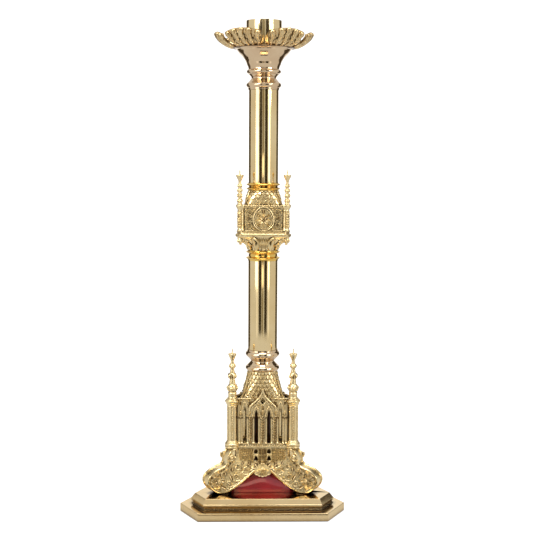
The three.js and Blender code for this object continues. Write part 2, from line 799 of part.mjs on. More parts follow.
function makeTurrets() {
  const bottom = KNOP_DECK;
  const profile = [
    [0, bottom],
    [TURRET_RADIUS + 1.6, bottom],
    [TURRET_RADIUS + 1.6, bottom + 3],
    [TURRET_RADIUS, bottom + 6],
    [TURRET_RADIUS, 694],
    [TURRET_RADIUS + 3.4, 700],
    [TURRET_RADIUS + 4.4, 703],
    [TURRET_RADIUS + 4.4, TURRET_TOP],
    [0, TURRET_TOP],
  ];
  const spire = [
    [0, TURRET_TOP],
    [6, TURRET_TOP],
    [6, TURRET_TOP + 9],
    ...ballPoints(725, 7.3, 5.4),
    ...ballPoints(745, 6.6, 4.2),
    [3.6, 754],
    [4.2, 761],
    [8.4, 772],
    [2.6, 776],
    [0, KNOP_PINNACLE_TOP],
  ];
  for (const [place, turn] of CORNERS) {
    const turret = turned(profile, SMALL_SEGMENTS).translate(0, -TURRET_REACH, 0);
    const width = 2 * (KNOP_PANEL_HALF + GAP);
    const depth = KNOP_PANEL_THICK + 2 * GAP;
    const panels = [60, -60].map((angle) =>
      new THREE.BoxGeometry(width, depth, 2 * TURRET_TOP)
        .translate(0, -KNOP_PANEL_BACK - KNOP_PANEL_THICK / 2, TURRET_TOP)
        .rotateZ(radians(angle)),
    );
    const group = turnedGroup(turn);
    addPiece(group, "knop_turret_" + place, cut(turret, ...panels), giltCasting());
    const pinnacle = turned(spire, SPIRE_SEGMENTS).translate(0, -KNOP_PINNACLE_REACH, 0);
    addPiece(group, "knop_pinnacle_" + place, pinnacle, giltCasting());
  }
}

function makeKnopRoof() {
  const levels = [
    [TURRET_TOP - 6, 33.2, 45.5, 41, 0],
    [TURRET_TOP, 33.2, 45.5, 41, 0],
    [TURRET_TOP + 14, 33.2, 44, 39.6, 0.35],
    [TURRET_TOP + 25, 33.2, 40, 37, 0.75],
    [KNOP_ROOF_TOP, 33, 35.2, SEAT_RADIUS, 1],
  ];
  addPiece(root, "knop_roof", roofShell(levels, ROD_BORE, 3), giltCasting());
}

// Cup, drip pan, leaves and socket -------------------------------------------------------
function makeCup() {
  const outside = [
    [SEAT_RADIUS, CUP_BOTTOM],
    [38.6, 1021],
    [42, 1030],
    [47.6, 1037.5],
    [55.2, 1045],
    [59.4, 1051],
    [61, 1054],
    [65, PAN_BOTTOM],
  ];
  const inside = [
    [61, PAN_BOTTOM],
    [54.5, 1049.5],
    [45, 1040],
    [39, 1031],
    [35.6, 1021],
    [33, CUP_BOTTOM + 4],
    [ROD_BORE, CUP_BOTTOM + 4],
    [ROD_BORE, CUP_BOTTOM],
  ];
  addPiece(root, "cup_bell", turnedShell(outside, inside), polishedBrass());
}

function makePan() {
  const holeRadius = 26;
  const pan = turnedShell(
    [
      [holeRadius, PAN_BOTTOM],
      [PAN_RADIUS - 2, PAN_BOTTOM],
      [PAN_RADIUS, PAN_BOTTOM + 1],
      [PAN_RADIUS, PAN_BOTTOM + 2.2],
      [PAN_RADIUS - 2, PAN_BOTTOM + 2.7],
    ],
    [[holeRadius, PAN_TOP]],
  );
  addPiece(root, "drip_pan", pan, polishedBrass());

  // A palmette leaf rises from the pan's rim and curls out to its tip. Each station is the
  // radius and height of the underside at the rib, and the half width there.
  const thick = 3;
  const stations = [
    [PAN_RADIUS - 6, PAN_TOP + GAP, 26],
    [PAN_RADIUS + 3, PAN_TOP + GAP + 0.5, 33],
    [83, 1064.5, 41],
    [92, 1071, 46],
    [101, 1078.5, 49],
    [107.5, 1086, 36],
    [LEAF_TIP_RADIUS - 1, 1094, 12],
  ];
  const section = ([radius, z, half]) => {
    const droop = 0.16 * half;
    const top = z + thick;
    return [
      [-half, -radius + droop, top + 2],
      [-half / 2, -radius + droop / 4, top + 1],
      [0, -radius, top],
      [half / 2, -radius + droop / 4, top + 1],
      [half, -radius + droop, top + 2],
    ];
  };
  for (let k = 0; k < LEAF_COUNT; k += 1) {
    const leaf = leafBlade(stations.map(section), thick);
    const group = turnedGroup(30 + (360 * k) / LEAF_COUNT);
    addPiece(group, "crown_leaf_" + (k + 1), leaf, giltCasting());
  }
}

// A blade of even height thickness over a grid of points, one row of points per station.
function leafBlade(rows, thick) {
  const width = rows[0].length;
  const top = rows.flat();
  const positions = [...top.flat(), ...top.flatMap(([x, y, z]) => [x, y, z - thick])];
  const under = rows.length * width;
  const indices = [];
  const quad = (a, b, c, d) => indices.push(a, b, c, a, c, d);
  for (let r = 0; r + 1 < rows.length; r += 1) {
    for (let c = 0; c + 1 < width; c += 1) {
      const a = r * width + c;
      quad(a, a + width, a + width + 1, a + 1);
      quad(under + a, under + a + 1, under + a + width + 1, under + a + width);
    }
    const left = r * width;
    const right = left + width - 1;
    quad(left, under + left, under + left + width, left + width);
    quad(right, right + width, under + right + width, under + right);
  }
  const last = (rows.length - 1) * width;
  for (let c = 0; c + 1 < width; c += 1) {
    quad(c, c + 1, under + c + 1, under + c);
    quad(last + c, under + last + c, under + last + c + 1, last + c + 1);
  }
  const geometry = new THREE.BufferGeometry();
  geometry.setAttribute("position", new THREE.Float32BufferAttribute(positions, 3));
  geometry.setIndex(indices);
  return geometry;
}

// The candle socket: a plain cup whose spigot drops through the pan into the cup below.
function makeSocket() {
  const floor = PAN_TOP + 3;
  const socket = turned(
    [
      [0, SPIGOT_BOTTOM],
      [22, SPIGOT_BOTTOM],
      [24, SPIGOT_BOTTOM + 2],
      [24, PAN_TOP],
      [SOCKET_RADIUS, PAN_TOP],
      [SOCKET_RADIUS, TOTAL_HEIGHT],
      [SOCKET_BORE, TOTAL_HEIGHT],
      [SOCKET_BORE, floor],
      [0, floor],
    ],
    COLUMN_SEGMENTS,
  );
  addPiece(root, "candle_socket", socket, polishedBrass());
}

makeBase();
makeTieRod();
makeDome();
makeFeet();
makeArches();
makeTowerDeck();
makeTowerCore();
makeTowerPanels();
makeTowerPiers();
makePinnacles();
makeTowerRoof();
makeLowerCollar();
makeColumn();
makeKnopBell();
makeKnopPanels();
makeTurrets();
makeKnopRoof();
makeCup();
makePan();
makeSocket();

export default root;
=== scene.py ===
"""Looks for the standing church candlestick: fine surfaces, materials, light and camera.

Lengths are in millimetres while a piece is made, and become metres in add_piece. Heights and
reaches come from the CAD frame's boxes, so every piece sits where its CAD node does.
"""
import math

import bmesh
import bpy
import numpy as np
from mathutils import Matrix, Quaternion, Vector


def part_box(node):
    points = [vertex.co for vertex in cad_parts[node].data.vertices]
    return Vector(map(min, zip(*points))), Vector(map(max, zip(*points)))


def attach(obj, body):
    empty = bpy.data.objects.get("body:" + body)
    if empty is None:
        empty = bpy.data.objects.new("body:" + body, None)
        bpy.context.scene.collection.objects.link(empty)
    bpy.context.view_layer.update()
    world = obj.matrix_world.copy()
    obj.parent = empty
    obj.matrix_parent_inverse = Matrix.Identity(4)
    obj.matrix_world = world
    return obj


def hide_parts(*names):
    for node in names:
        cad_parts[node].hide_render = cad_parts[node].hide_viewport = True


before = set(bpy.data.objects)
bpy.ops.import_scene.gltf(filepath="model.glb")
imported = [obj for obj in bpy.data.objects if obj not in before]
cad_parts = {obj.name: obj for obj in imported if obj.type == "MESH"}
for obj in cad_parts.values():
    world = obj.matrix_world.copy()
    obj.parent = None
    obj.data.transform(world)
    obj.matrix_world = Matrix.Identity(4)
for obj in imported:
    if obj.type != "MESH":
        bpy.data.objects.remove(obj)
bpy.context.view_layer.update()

MM = 0.001
SIDES = {"front": 0, "right": 120, "left": -120}
CORNERS = {"right": 60, "left": -60, "rear": 180}


def span(node, axis=2):
    """Lowest and highest coordinate of a CAD node along an axis, in millimetres."""
    low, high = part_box(node)
    return low[axis] / MM, high[axis] / MM


# Mesh kit: a part is (vertices as an n by 3 array in mm, list of faces) ----------------------
def combine(*parts):
    verts = []
    faces = []
    offset = 0
    for part_verts, part_faces in parts:
        verts.append(part_verts)
        faces += [tuple(i + offset for i in face) for face in part_faces]
        offset += len(part_verts)
    return np.concatenate(verts), faces


def moved(part, x=0.0, y=0.0, z=0.0):
    return part[0] + np.array([x, y, z]), part[1]


def turned(part, degrees):
    """The part turned about the vertical axis."""
    a = math.radians(degrees)
    spin = np.array([[math.cos(a), -math.sin(a), 0], [math.sin(a), math.cos(a), 0], [0, 0, 1]])
    return part[0] @ spin.T, part[1]


def mirrored(part, axis=0):
    """The part mirrored along an axis, with its faces still pointing out."""
    flip = np.ones(3)
    flip[axis] = -1.0
    return part[0] * flip, [tuple(reversed(face)) for face in part[1]]


def both_sides(part, axis=0):
    return combine(part, mirrored(part, axis))


def mapped(part, place):
    """The part with each vertex moved by place, a function of an n by 3 array."""
    return place(part[0]), part[1]


def on_circle(radius, degrees):
    return radius * math.cos(math.radians(degrees)), radius * math.sin(math.radians(degrees))


def oriented(part, origin, x_axis, y_axis, z_axis):
    """The part drawn on its own axes, set at origin along the three given directions."""
    basis = np.array([x_axis, y_axis, z_axis], float)
    return part[0] @ basis + np.array(origin, float), part[1]


def skin(points, close_rows=False, close_columns=False, caps=False):
    """A surface over rows of points, an array of rows by columns by 3."""
    rows, columns = points.shape[:2]
    faces = []
    for r in range(rows if close_rows else rows - 1):
        for c in range(columns if close_columns else columns - 1):
            s = (r + 1) % rows
            d = (c + 1) % columns
            faces.append((r * columns + c, r * columns + d, s * columns + d, s * columns + c))
    if caps:
        faces.append(tuple(reversed(range(columns))))
        faces.append(tuple(range((rows - 1) * columns, rows * columns)))
    return points.reshape(-1, 3), faces


def revolve(profile, segments=96, closed=False):
    """A turning about the vertical axis from [radius, z] points; an open profile gets end caps."""
    profile = np.array(profile, float)
    angle = np.linspace(0, 2 * math.pi, segments, endpoint=False)
    points = np.empty((len(profile), segments, 3))
    points[:, :, 0] = profile[:, :1] * np.cos(angle)
    points[:, :, 1] = profile[:, :1] * np.sin(angle)
    points[:, :, 2] = profile[:, 1:]
    return skin(points, close_rows=closed, close_columns=True, caps=not closed)


def filleted(points, radius, steps=5, closed=False):
    """A line with its corners rounded to a radius, or as near as its short legs allow."""
    points = np.array(points, float)
    count = len(points)
    out = []
    for i in range(count):
        if not closed and i in (0, count - 1):
            out.append(points[i])
            continue
        here, before, after = points[i], points[i - 1], points[(i + 1) % count]
        back, ahead = np.linalg.norm(before - here), np.linalg.norm(after - here)
        reach = min(radius, 0.45 * back, 0.45 * ahead)
        start = here + (before - here) * reach / back
        end = here + (after - here) * reach / ahead
        for t in np.linspace(0, 1, steps):
            out.append((1 - t) ** 2 * start + 2 * t * (1 - t) * here + t ** 2 * end)
    return np.array(out)


def smooth_line(points, count, closed=False):
    """A Catmull-Rom curve through the points, with count points in each stretch."""
    points = np.array(points, float)
    total = len(points)
    out = []
    for i in range(total if closed else total - 1):
        p1, p2 = points[i], points[(i + 1) % total]
        p0 = points[i - 1] if closed or i > 0 else 2 * p1 - p2
        p3 = points[(i + 2) % total] if closed or i + 2 < total else 2 * p2 - p1
        for t in np.linspace(0, 1, count, endpoint=False):
            out.append(0.5 * (2 * p1 + (p2 - p0) * t + (2 * p0 - 5 * p1 + 4 * p2 - p3) * t ** 2
                              + (3 * p1 - p0 - 3 * p2 + p3) * t ** 3))
    if not closed:
        out.append(points[-1])
    return np.array(out)


def roll(path, radius, sides=8, closed=False):
    """A round moulding or stem along a path of 3-D points; radius may change along it."""
    path = np.array(path, float)
    count = len(path)
    radii = np.broadcast_to(np.asarray(radius, float), (count,))
    if closed:
        tangents = np.roll(path, -1, axis=0) - np.roll(path, 1, axis=0)
    else:
        tangents = np.gradient(path, axis=0)
    tangents /= np.maximum(np.linalg.norm(tangents, axis=1, keepdims=True), 1e-9)
    side = np.cross(tangents[0], [0.0, 0.0, 1.0])
    if np.linalg.norm(side) < 1e-3:
        side = np.cross(tangents[0], [0.0, 1.0, 0.0])
    angle = np.linspace(0, 2 * math.pi, sides, endpoint=False)
    rings = []
    for point, tangent, r in zip(path, tangents, radii):
        side = side - tangent * side.dot(tangent)
        side /= np.linalg.norm(side)
        up = np.cross(tangent, side)
        rings.append(point + r * (np.outer(np.cos(angle), side) + np.outer(np.sin(angle), up)))
    return skin(np.array(rings), close_rows=closed, close_columns=True, caps=not closed)


def ball(centre, radius, segments=10, rows=7, squash=1.0):
    theta = np.linspace(0.02, math.pi - 0.02, rows)
    profile = np.stack([radius * np.sin(theta), -radius * squash * np.cos(theta)], axis=1)
    return moved(revolve(profile, segments), *centre)


def petal(length, width, height, point=0.6):
    """A leaf lobe lying on z = 0 along +X from the origin, with a crease down its middle."""
    u = np.linspace(0, 1, 9)
    half = 0.5 * width * np.sin(math.pi * u ** point) ** 0.8
    rise = height * np.sin(math.pi * np.clip(u * 0.8 + 0.16, 0, 1))
    across = np.array([-1.0, -0.55, 0.0, 0.55, 1.0, 0.5, -0.5])
    lift = np.array([0.0, 0.95, 0.6, 0.95, 0.0, -0.25, -0.25])
    points = np.empty((len(u), len(across), 3))
    points[:, :, 0] = (length * u)[:, None]
    points[:, :, 1] = half[:, None] * across
    points[:, :, 2] = rise[:, None] * lift
    return skin(points, close_columns=True, caps=True)


def petal_at(x, y, degrees, length, width, height, point=0.6):
    a = math.radians(degrees)
    along, across = (math.cos(a), math.sin(a), 0), (-math.sin(a), math.cos(a), 0)
    return oriented(petal(length, width, height, point), (x, y, 0), along, across, (0, 0, 1))


def leaves(rows):
    """Leaf lobes from (x, y, direction, length, width, height) rows."""
    return combine(*[petal_at(*row) for row in rows])


def rosette(x, y, radius, count, height):
    """A flower of lobes round a bead, lying on z = 0."""
    width = radius * 3.4 / count + 0.8
    lobes = leaves([(x, y, 360 * k / count, radius, width, height) for k in range(count)])
    return combine(ball((x, y, height * 0.5), radius * 0.24), lobes)


def vine_scroll(x, y, radius, start, hand, stem=1.0, turns=1.35, lobes=6, height=2.0):
    """A spiral stem that ends in a rosette, with leaf lobes along its outside, on z = 0."""
    t = np.linspace(0, 1, 34)
    angle = math.radians(start) + hand * turns * 2 * math.pi * t
    reach = radius * (1 - 0.72 * t)
    path = flat_path(np.column_stack([x + reach * np.cos(angle), y + reach * np.sin(angle)]), 0.35 * height)
    parts = [roll(path, stem * (1.15 - 0.5 * t), 6), rosette(x, y, radius * 0.34, 5, height)]
    for k in range(lobes):
        i = int(2 + k * 22 / lobes)
        outward = math.degrees(angle[i]) + hand * 52
        parts.append(petal_at(path[i, 0], path[i, 1], outward, radius * 0.52, radius * 0.3, height))
    return combine(*parts)


def scrolls(rows):
    """Leaf scrolls from rows of vine_scroll's measures."""
    return combine(*[vine_scroll(*row) for row in rows])


def braid(x, low, high, width, height=2.0):
    """A vertical strip of overlapping leaf pairs on z = 0."""
    count = int((high - low) / (width * 0.62))
    step = (high - low) / count
    return leaves([(x, low + step * k, 90 + hand * 38, width * 0.95, width * 0.5, height)
                   for k in range(count) for hand in (-1, 1)])


def braids(rows):
    """Leaf strips from (x, low, high, width, height) rows."""
    return combine(*[braid(*row) for row in rows])


def flat_outline(points, thickness, bevel, holes=()):
    """A plate on the x-z plane with rounded edges and holes; its front face is at y = 0."""
    curve = bpy.data.curves.new("outline", "CURVE")
    curve.dimensions = "2D"
    curve.fill_mode = "BOTH"
    curve.extrude = thickness / 2 - bevel
    curve.bevel_depth = bevel
    curve.bevel_resolution = 2
    curve.offset = -bevel
    for loop in (points, *holes):
        spline = curve.splines.new("POLY")
        spline.points.add(len(loop) - 1)
        spline.points.foreach_set("co", [c for x, y in loop for c in (x, y, 0.0, 1.0)])
        spline.use_cyclic_u = True
    holder = bpy.data.objects.new("outline", curve)
    mesh = bpy.data.meshes.new_from_object(holder)
    verts = np.empty(len(mesh.vertices) * 3)
    mesh.vertices.foreach_get("co", verts)
    faces = [tuple(face.vertices) for face in mesh.polygons]
    bpy.data.objects.remove(holder)
    bpy.data.curves.remove(curve)
    bpy.data.meshes.remove(mesh)
    x, y, z = verts.reshape(-1, 3).T
    return np.stack([x, thickness / 2 - z, y], axis=1), faces


def upright(part, front):
    """A relief drawn on z = 0 stood up on the plane y = front, facing -Y."""
    x, y, z = part[0].T
    return np.stack([x, front - z, y], axis=1), part[1]


def bead_row(path, spacing, radius):
    """Beads at an even spacing along a path of 3-D points."""
    path = np.array(path, float)
    steps = np.linalg.norm(np.diff(path, axis=0), axis=1)
    distance = np.concatenate([[0], np.cumsum(steps)])
    count = max(2, int(round(distance[-1] / spacing)) + 1)
    places = np.linspace(0, distance[-1], count)
    centres = np.stack([np.interp(places, distance, path[:, k]) for k in range(3)], axis=1)
    return combine(*[ball(centre, radius, 8, 5) for centre in centres])


def cut_triangle(side, corner, z=0.0):
    """Six corners of a triangle with cut corners, from its reach to a side and to a cut corner."""
    half = (2 * corner - side) / math.sqrt(3)
    loop = []
    for k in range(3):
        a = math.radians(-90 + 120 * k)
        c, s = math.cos(a), math.sin(a)
        loop += [(side * c - along * s, side * s + along * c, z) for along in (-half, half)]
    return loop


def triangle_ring(side, corner, count, crispness):
    """Reach of a rounded triangle with cut corners at even steps of angle from -90 degrees."""
    angle = np.radians(-90) + np.linspace(0, 2 * math.pi, count, endpoint=False)
    total = np.zeros(count)
    for k in range(3):
        for reach, centre in ((side, -90 + 120 * k), (corner, -30 + 120 * k)):
            facing = np.clip(np.cos(angle - math.radians(centre)), 0, None) / reach
            total += facing ** crispness
    return angle, total ** (-1 / crispness)


def lofted(levels, count=144, crispness=26.0):
    """A skin through (z, side, corner, radius, roundness) levels; roundness 1 is a circle."""
    rings = []
    for z, side, corner, radius, roundness in levels:
        angle, reach = triangle_ring(side, corner, count, crispness)
        reach = (1 - roundness) * reach + roundness * radius
        rings.append(np.column_stack([reach * np.cos(angle), reach * np.sin(angle), np.full(count, z)]))
    return skin(np.array(rings), close_columns=True, caps=True)


def flat_path(points, height):
    """A path on the plane z = height from 2-D points."""
    points = np.array(points, float)
    return np.column_stack([points, np.full(len(points), height)])


def add_piece(name, part, material, body, nodes=(), sharp=38.0, bevel=0.0):
    """One object from a part, riding on a body and standing for CAD nodes.

    Edges that turn by more than sharp degrees are drawn hard; bevel is a rounding in mm.
    """
    verts, faces = part
    mesh = bpy.data.meshes.new(name)
    mesh.from_pydata((verts * MM).tolist(), [], faces)
    shape = bmesh.new()
    shape.from_mesh(mesh)
    bmesh.ops.remove_doubles(shape, verts=shape.verts, dist=2e-6)
    bmesh.ops.dissolve_degenerate(shape, edges=shape.edges, dist=1e-7)
    bmesh.ops.recalc_face_normals(shape, faces=shape.faces)
    limit = math.radians(sharp)
    for face in shape.faces:
        face.smooth = True
    for edge in shape.edges:
        edge.smooth = not edge.is_manifold or edge.calc_face_angle(0.0) < limit
    shape.to_mesh(mesh)
    shape.free()
    mesh.materials.append(material)
    obj = bpy.data.objects.new(name, mesh)
    bpy.context.scene.collection.objects.link(obj)
    if bevel:
        rounding = obj.modifiers.new("rounding", "BEVEL")
        rounding.width = bevel * MM
        rounding.segments = 3
        rounding.limit_method = "ANGLE"
        rounding.angle_limit = math.radians(25)
        rounding.harden_normals = True
    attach(obj, body)
    if nodes:
        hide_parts(*nodes)


def add_round(name, part, material, places, node, sharp=50.0):
    """A copy of the part at each side or corner, each standing for its own CAD node."""
    for place, turn in places.items():
        add_piece(name + place, turned(part, turn), material, "stand", [node + place], sharp)


# Materials ------------------------------------------------------------------------------
class Shader:
    """A node material for one slot, with short names for its links."""

    def __init__(self, slot):
        self.material = bpy.data.materials.new(slot)
        self.material.use_nodes = True
        self.material["slot"] = slot
        self.nodes = self.material.node_tree.nodes
        self.links = self.material.node_tree.links
        self.bsdf = self.nodes["Principled BSDF"]
        self.place = self.nodes.new("ShaderNodeTexCoord").outputs["Object"]

    def noise(self, scale, detail=4.0, roughness=0.55, stretch=(1, 1, 1)):
        mapping = self.nodes.new("ShaderNodeMapping")
        mapping.inputs["Scale"].default_value = stretch
        self.links.new(self.place, mapping.inputs["Vector"])
        texture = self.nodes.new("ShaderNodeTexNoise")
        texture.inputs["Scale"].default_value = scale
        texture.inputs["Detail"].default_value = detail
        texture.inputs["Roughness"].default_value = roughness
        self.links.new(mapping.outputs["Vector"], texture.inputs["Vector"])
        return texture.outputs["Fac"]

    def ramp(self, source, stops):
        """A colour ramp; each stop is (position, colour or grey level)."""
        ramp = self.nodes.new("ShaderNodeValToRGB")
        elements = ramp.color_ramp.elements
        while len(elements) < len(stops):
            elements.new(0.5)
        for element, (position, colour) in zip(elements, stops):
            element.position = position
            element.color = (*colour, 1.0) if isinstance(colour, tuple) else (colour,) * 3 + (1.0,)
        self.links.new(source, ramp.inputs["Fac"])
        return ramp.outputs["Color"]

    def mix(self, factor, first, second, blend="MIX"):
        node = self.nodes.new("ShaderNodeMix")
        node.data_type = "RGBA"
        node.blend_type = blend
        for name, value in (("Factor", factor), ("A", first), ("B", second)):
            sockets = [s for s in node.inputs if s.name == name and s.enabled]
            if isinstance(value, bpy.types.NodeSocket):
                self.links.new(value, sockets[0])
            elif name == "Factor":
                sockets[0].default_value = value
            else:
                sockets[0].default_value = (*value, 1.0)
        return [s for s in node.outputs if s.name == "Result" and s.enabled][0]

    def bump(self, height, distance, strength=1.0):
        node = self.nodes.new("ShaderNodeBump")
        node.inputs["Distance"].default_value = distance * MM
        node.inputs["Strength"].default_value = strength
        self.links.new(height, node.inputs["Height"])
        self.links.new(node.outputs["Normal"], self.bsdf.inputs["Normal"])

    def set(self, name, value):
        socket = self.bsdf.inputs[name]
        if isinstance(value, bpy.types.NodeSocket):
            self.links.new(value, socket)
        else:
            socket.default_value = value

    def pointiness(self):
        return self.nodes.new("ShaderNodeNewGeometry").outputs["Pointiness"]

    def hollows(self, reach, deep, open_air):
        """1 in corners shut in within reach (mm), 0 on open faces, from the share of open air. The materials
        darken their colour with it: painted shade, partly dirt in the castings' small hollows.
        """
        node = self.nodes.new("ShaderNodeAmbientOcclusion")
        node.samples = 6
        node.inputs["Distance"].default_value = reach * MM
        return self.ramp(node.outputs["AO"], [(deep, 1.0), (open_air, 0.0)])


# Painted shade: browns laid into the colour where grooves, corners and hollows are shut in from the light.
GROOVE_SHADE_BROWN = (0.13, 0.055, 0.02)
CORNER_SHADE_BROWN = (0.05, 0.02, 0.010)
SHADOW_BROWN = (0.03, 0.015, 0.006)


def turned_metal(slot, light, dark, roughness=0.10, marks=0.02, reach=12):
    """Lathe-polished brass: faint rings from the lathe, cloudy handling marks, and painted shade, a dark
    brown in grooves and shut-in corners.
    """
    shader = Shader(slot)
    base = shader.ramp(shader.noise(14, 5), [(0.32, dark), (0.62, light)])
    # Painted shade: the colour turns groove brown where the part is shut in within reach (mm).
    shader.set("Base Color", shader.mix(shader.hollows(reach, 0.28, 0.62), base, GROOVE_SHADE_BROWN))
    rings = shader.noise(9, 6, 0.7, stretch=(2, 2, 60))
    lathe = shader.ramp(rings, [(0.35, roughness * 0.7), (0.75, roughness * 1.25)])
    film = shader.ramp(shader.noise(38, 4), [(0.3, roughness * 0.8), (0.8, roughness * 1.6)])
    shader.set("Roughness", shader.mix(0.5, lathe, film))
    shader.set("Metallic", 1.0)
    shader.bump(rings, marks, 0.35)
    return shader.material


def sheet_metal(slot, light, dark, roughness):
    """Mirror-polished sheet brass with a soft film, fine hairlines and painted shade, brown, in the deep
    corners.
    """
    shader = Shader(slot)
    base = shader.ramp(shader.noise(9, 5), [(0.3, dark), (0.66, light)])
    # Painted shade: the colour turns corner brown where the sheet is shut in within 16 mm.
    shader.set("Base Color", shader.mix(shader.hollows(16, 0.46, 0.82), base, CORNER_SHADE_BROWN))
    hairlines = shader.noise(60, 3, 0.7, stretch=(1, 9, 9))
    film = shader.noise(26, 4)
    brushed = shader.ramp(hairlines, [(0.35, roughness * 0.6), (0.8, roughness * 1.5)])
    dulled = shader.ramp(film, [(0.3, roughness * 0.7), (0.8, roughness * 1.5)])
    shader.set("Roughness", shader.mix(0.5, brushed, dulled))
    shader.set("Metallic", 1.0)
    shader.bump(film, 0.05, 0.25)
    return shader.material


def cast_metal(slot, light, dark, crevice_dirt_and_shade):
    """Gilt casting: burnished on the high points, brown in the creases and small hollows, partly dirt and
    partly painted shade, with painted shadow brown where it is shut in within 60 mm, and a fine cast skin.
    """
    shader = Shader(slot)
    base = shader.ramp(shader.noise(45, 5), [(0.3, dark), (0.68, light)])
    # The crease mask (low pointiness) and hollows within 5 mm keep the dark crevice colour: partly dirt,
    # partly painted shade.
    edge = shader.ramp(shader.pointiness(), [(0.42, 1.0), (0.49, 0.0)])
    unworn_and_shaded = shader.mix(1.0, shader.hollows(5, 0.25, 0.72), edge, "LIGHTEN")
    outside = shader.mix(unworn_and_shaded, base, crevice_dirt_and_shade)
    # Painted shadow: places shut in within 60 mm turn shadow brown.
    shader.set("Base Color", shader.mix(shader.hollows(60, 0.12, 0.34), outside, SHADOW_BROWN))
    grain = shader.noise(420, 4, 0.6)
    gloss = shader.ramp(grain, [(0.3, 0.17), (0.75, 0.38)])
    shader.set("Roughness", shader.mix(unworn_and_shaded, gloss, (0.6, 0.6, 0.6)))
    shader.set("Metallic", 1.0)
    shader.bump(grain, 0.4, 0.6)
    return shader.material


def enamel(slot):
    """Deep red glass enamel over metal, under a clear gloss, with tiny flecks and orange peel, and painted
    shade, near black, where it is shut in.
    """
    shader = Shader(slot)
    depth = shader.noise(16, 4)
    glass = shader.ramp(depth, [(0.3, (0.17, 0.002, 0.007)), (0.7, (0.30, 0.005, 0.012))])
    # Painted shade: the red turns near black where the enamel is shut in within 45 mm.
    shader.set("Base Color", shader.mix(shader.hollows(45, 0.22, 0.5), glass, (0.006, 0.001, 0.001)))
    flecks = shader.noise(700, 2)
    shader.set("Roughness", shader.ramp(flecks, [(0.4, 0.12), (0.75, 0.24)]))
    shader.set("Metallic", 0.35)
    shader.set("Coat Weight", 1.0)
    shader.set("Coat Roughness", 0.03)
    shader.bump(shader.noise(70, 3), 0.12, 0.3)
    return shader.material


def plain_steel(slot):
    shader = Shader(slot)
    grain = shader.noise(50, 5, 0.7, stretch=(1, 1, 14))
    shader.set("Base Color", shader.ramp(grain, [(0.3, (0.30, 0.30, 0.31)), (0.7, (0.50, 0.50, 0.52))]))
    shader.set("Roughness", shader.ramp(grain, [(0.3, 0.32), (0.7, 0.5)]))
    shader.set("Metallic", 1.0)
    shader.bump(grain, 0.1, 0.4)
    return shader.material


def wool_felt(slot):
    shader = Shader(slot)
    fibres = shader.noise(900, 6, 0.75)
    shader.set("Base Color", shader.ramp(fibres, [(0.3, (0.012, 0.045, 0.022)), (0.7, (0.045, 0.13, 0.07))]))
    shader.set("Roughness", shader.ramp(fibres, [(0.3, 0.85), (0.7, 1.0)]))
    shader.set("Sheen Weight", 0.4)
    shader.bump(fibres, 0.5, 0.8)
    return shader.material


BRASS = (0.88, 0.70, 0.40), (0.80, 0.60, 0.30)
ROSE_TINT = (0.80, 0.62, 0.41), (0.71, 0.51, 0.32)
POLISHED = turned_metal("polished_brass", *BRASS)
SHEET = sheet_metal("polished_brass", (0.86, 0.66, 0.37), (0.78, 0.56, 0.27), 0.13)
ROSE = turned_metal("rose_brass", *ROSE_TINT)
CUP = turned_metal("polished_brass", *ROSE_TINT)
ORANGE = turned_metal("orange_gilt", (0.93, 0.64, 0.19), (0.82, 0.50, 0.10))
# A casting's last colour is its crevice colour: partly dirt, partly painted shade.
GILT = cast_metal("gilt_casting", (0.97, 0.79, 0.45), (0.88, 0.67, 0.34), (0.13, 0.065, 0.018))
# The candle cup's painted shade reaches 60 mm, so it turns dark brown wherever it is shut in, as inside the
# cup.
SOCKET = turned_metal("polished_brass", *BRASS, reach=60)
AGED = cast_metal("gilt_casting", (0.84, 0.65, 0.36), (0.66, 0.47, 0.23), (0.10, 0.05, 0.015))
BURNISHED = turned_metal("gilt_casting", (0.90, 0.71, 0.38), (0.80, 0.58, 0.27), 0.11)
# Painted shade: brass painted near black for the tube behind the windows, which stands in the tower's shade.
CORE_SHADE_BRASS = turned_metal("polished_brass", (0.07, 0.035, 0.02), (0.04, 0.02, 0.012), 0.34, 0.03)
# Painted shade: dark brown brass for the wax pan, so its rim shows as a dark shadow line under the crown
# leaves.
PAN_SHADE_BRASS = turned_metal("polished_brass", (0.26, 0.16, 0.075), (0.16, 0.09, 0.04), 0.30)
RED = enamel("red_enamel")
STEEL = plain_steel("steel")
FELT = wool_felt("felt")


# Base -----------------------------------------------------------------------------------
LOWER_LOW, LEDGE = span("base_plinth_lower")
DECK = span("base_plinth_upper")[1]
BASE_FRONT = -span("base_plinth_lower", 1)[0]
BASE_HALF = span("base_plinth_lower", 0)[1]
BASE_CORNER = BASE_HALF * math.sqrt(3) - BASE_FRONT
LEDGE_WIDTH = BASE_FRONT + span("base_plinth_upper", 1)[0]
SHEET_THICK = 2.5
SLOPE_TOP = 30


def base_loop(inset, z):
    """The base's six corners, moved in by an inset."""
    return cut_triangle(BASE_FRONT - inset, BASE_CORNER - inset, z)


def stepped(levels):
    """A hollow step of the base through (inset, z) levels, up the outside and down the inside."""
    return skin(np.array([base_loop(inset, z) for inset, z in levels]), close_rows=True, close_columns=True)


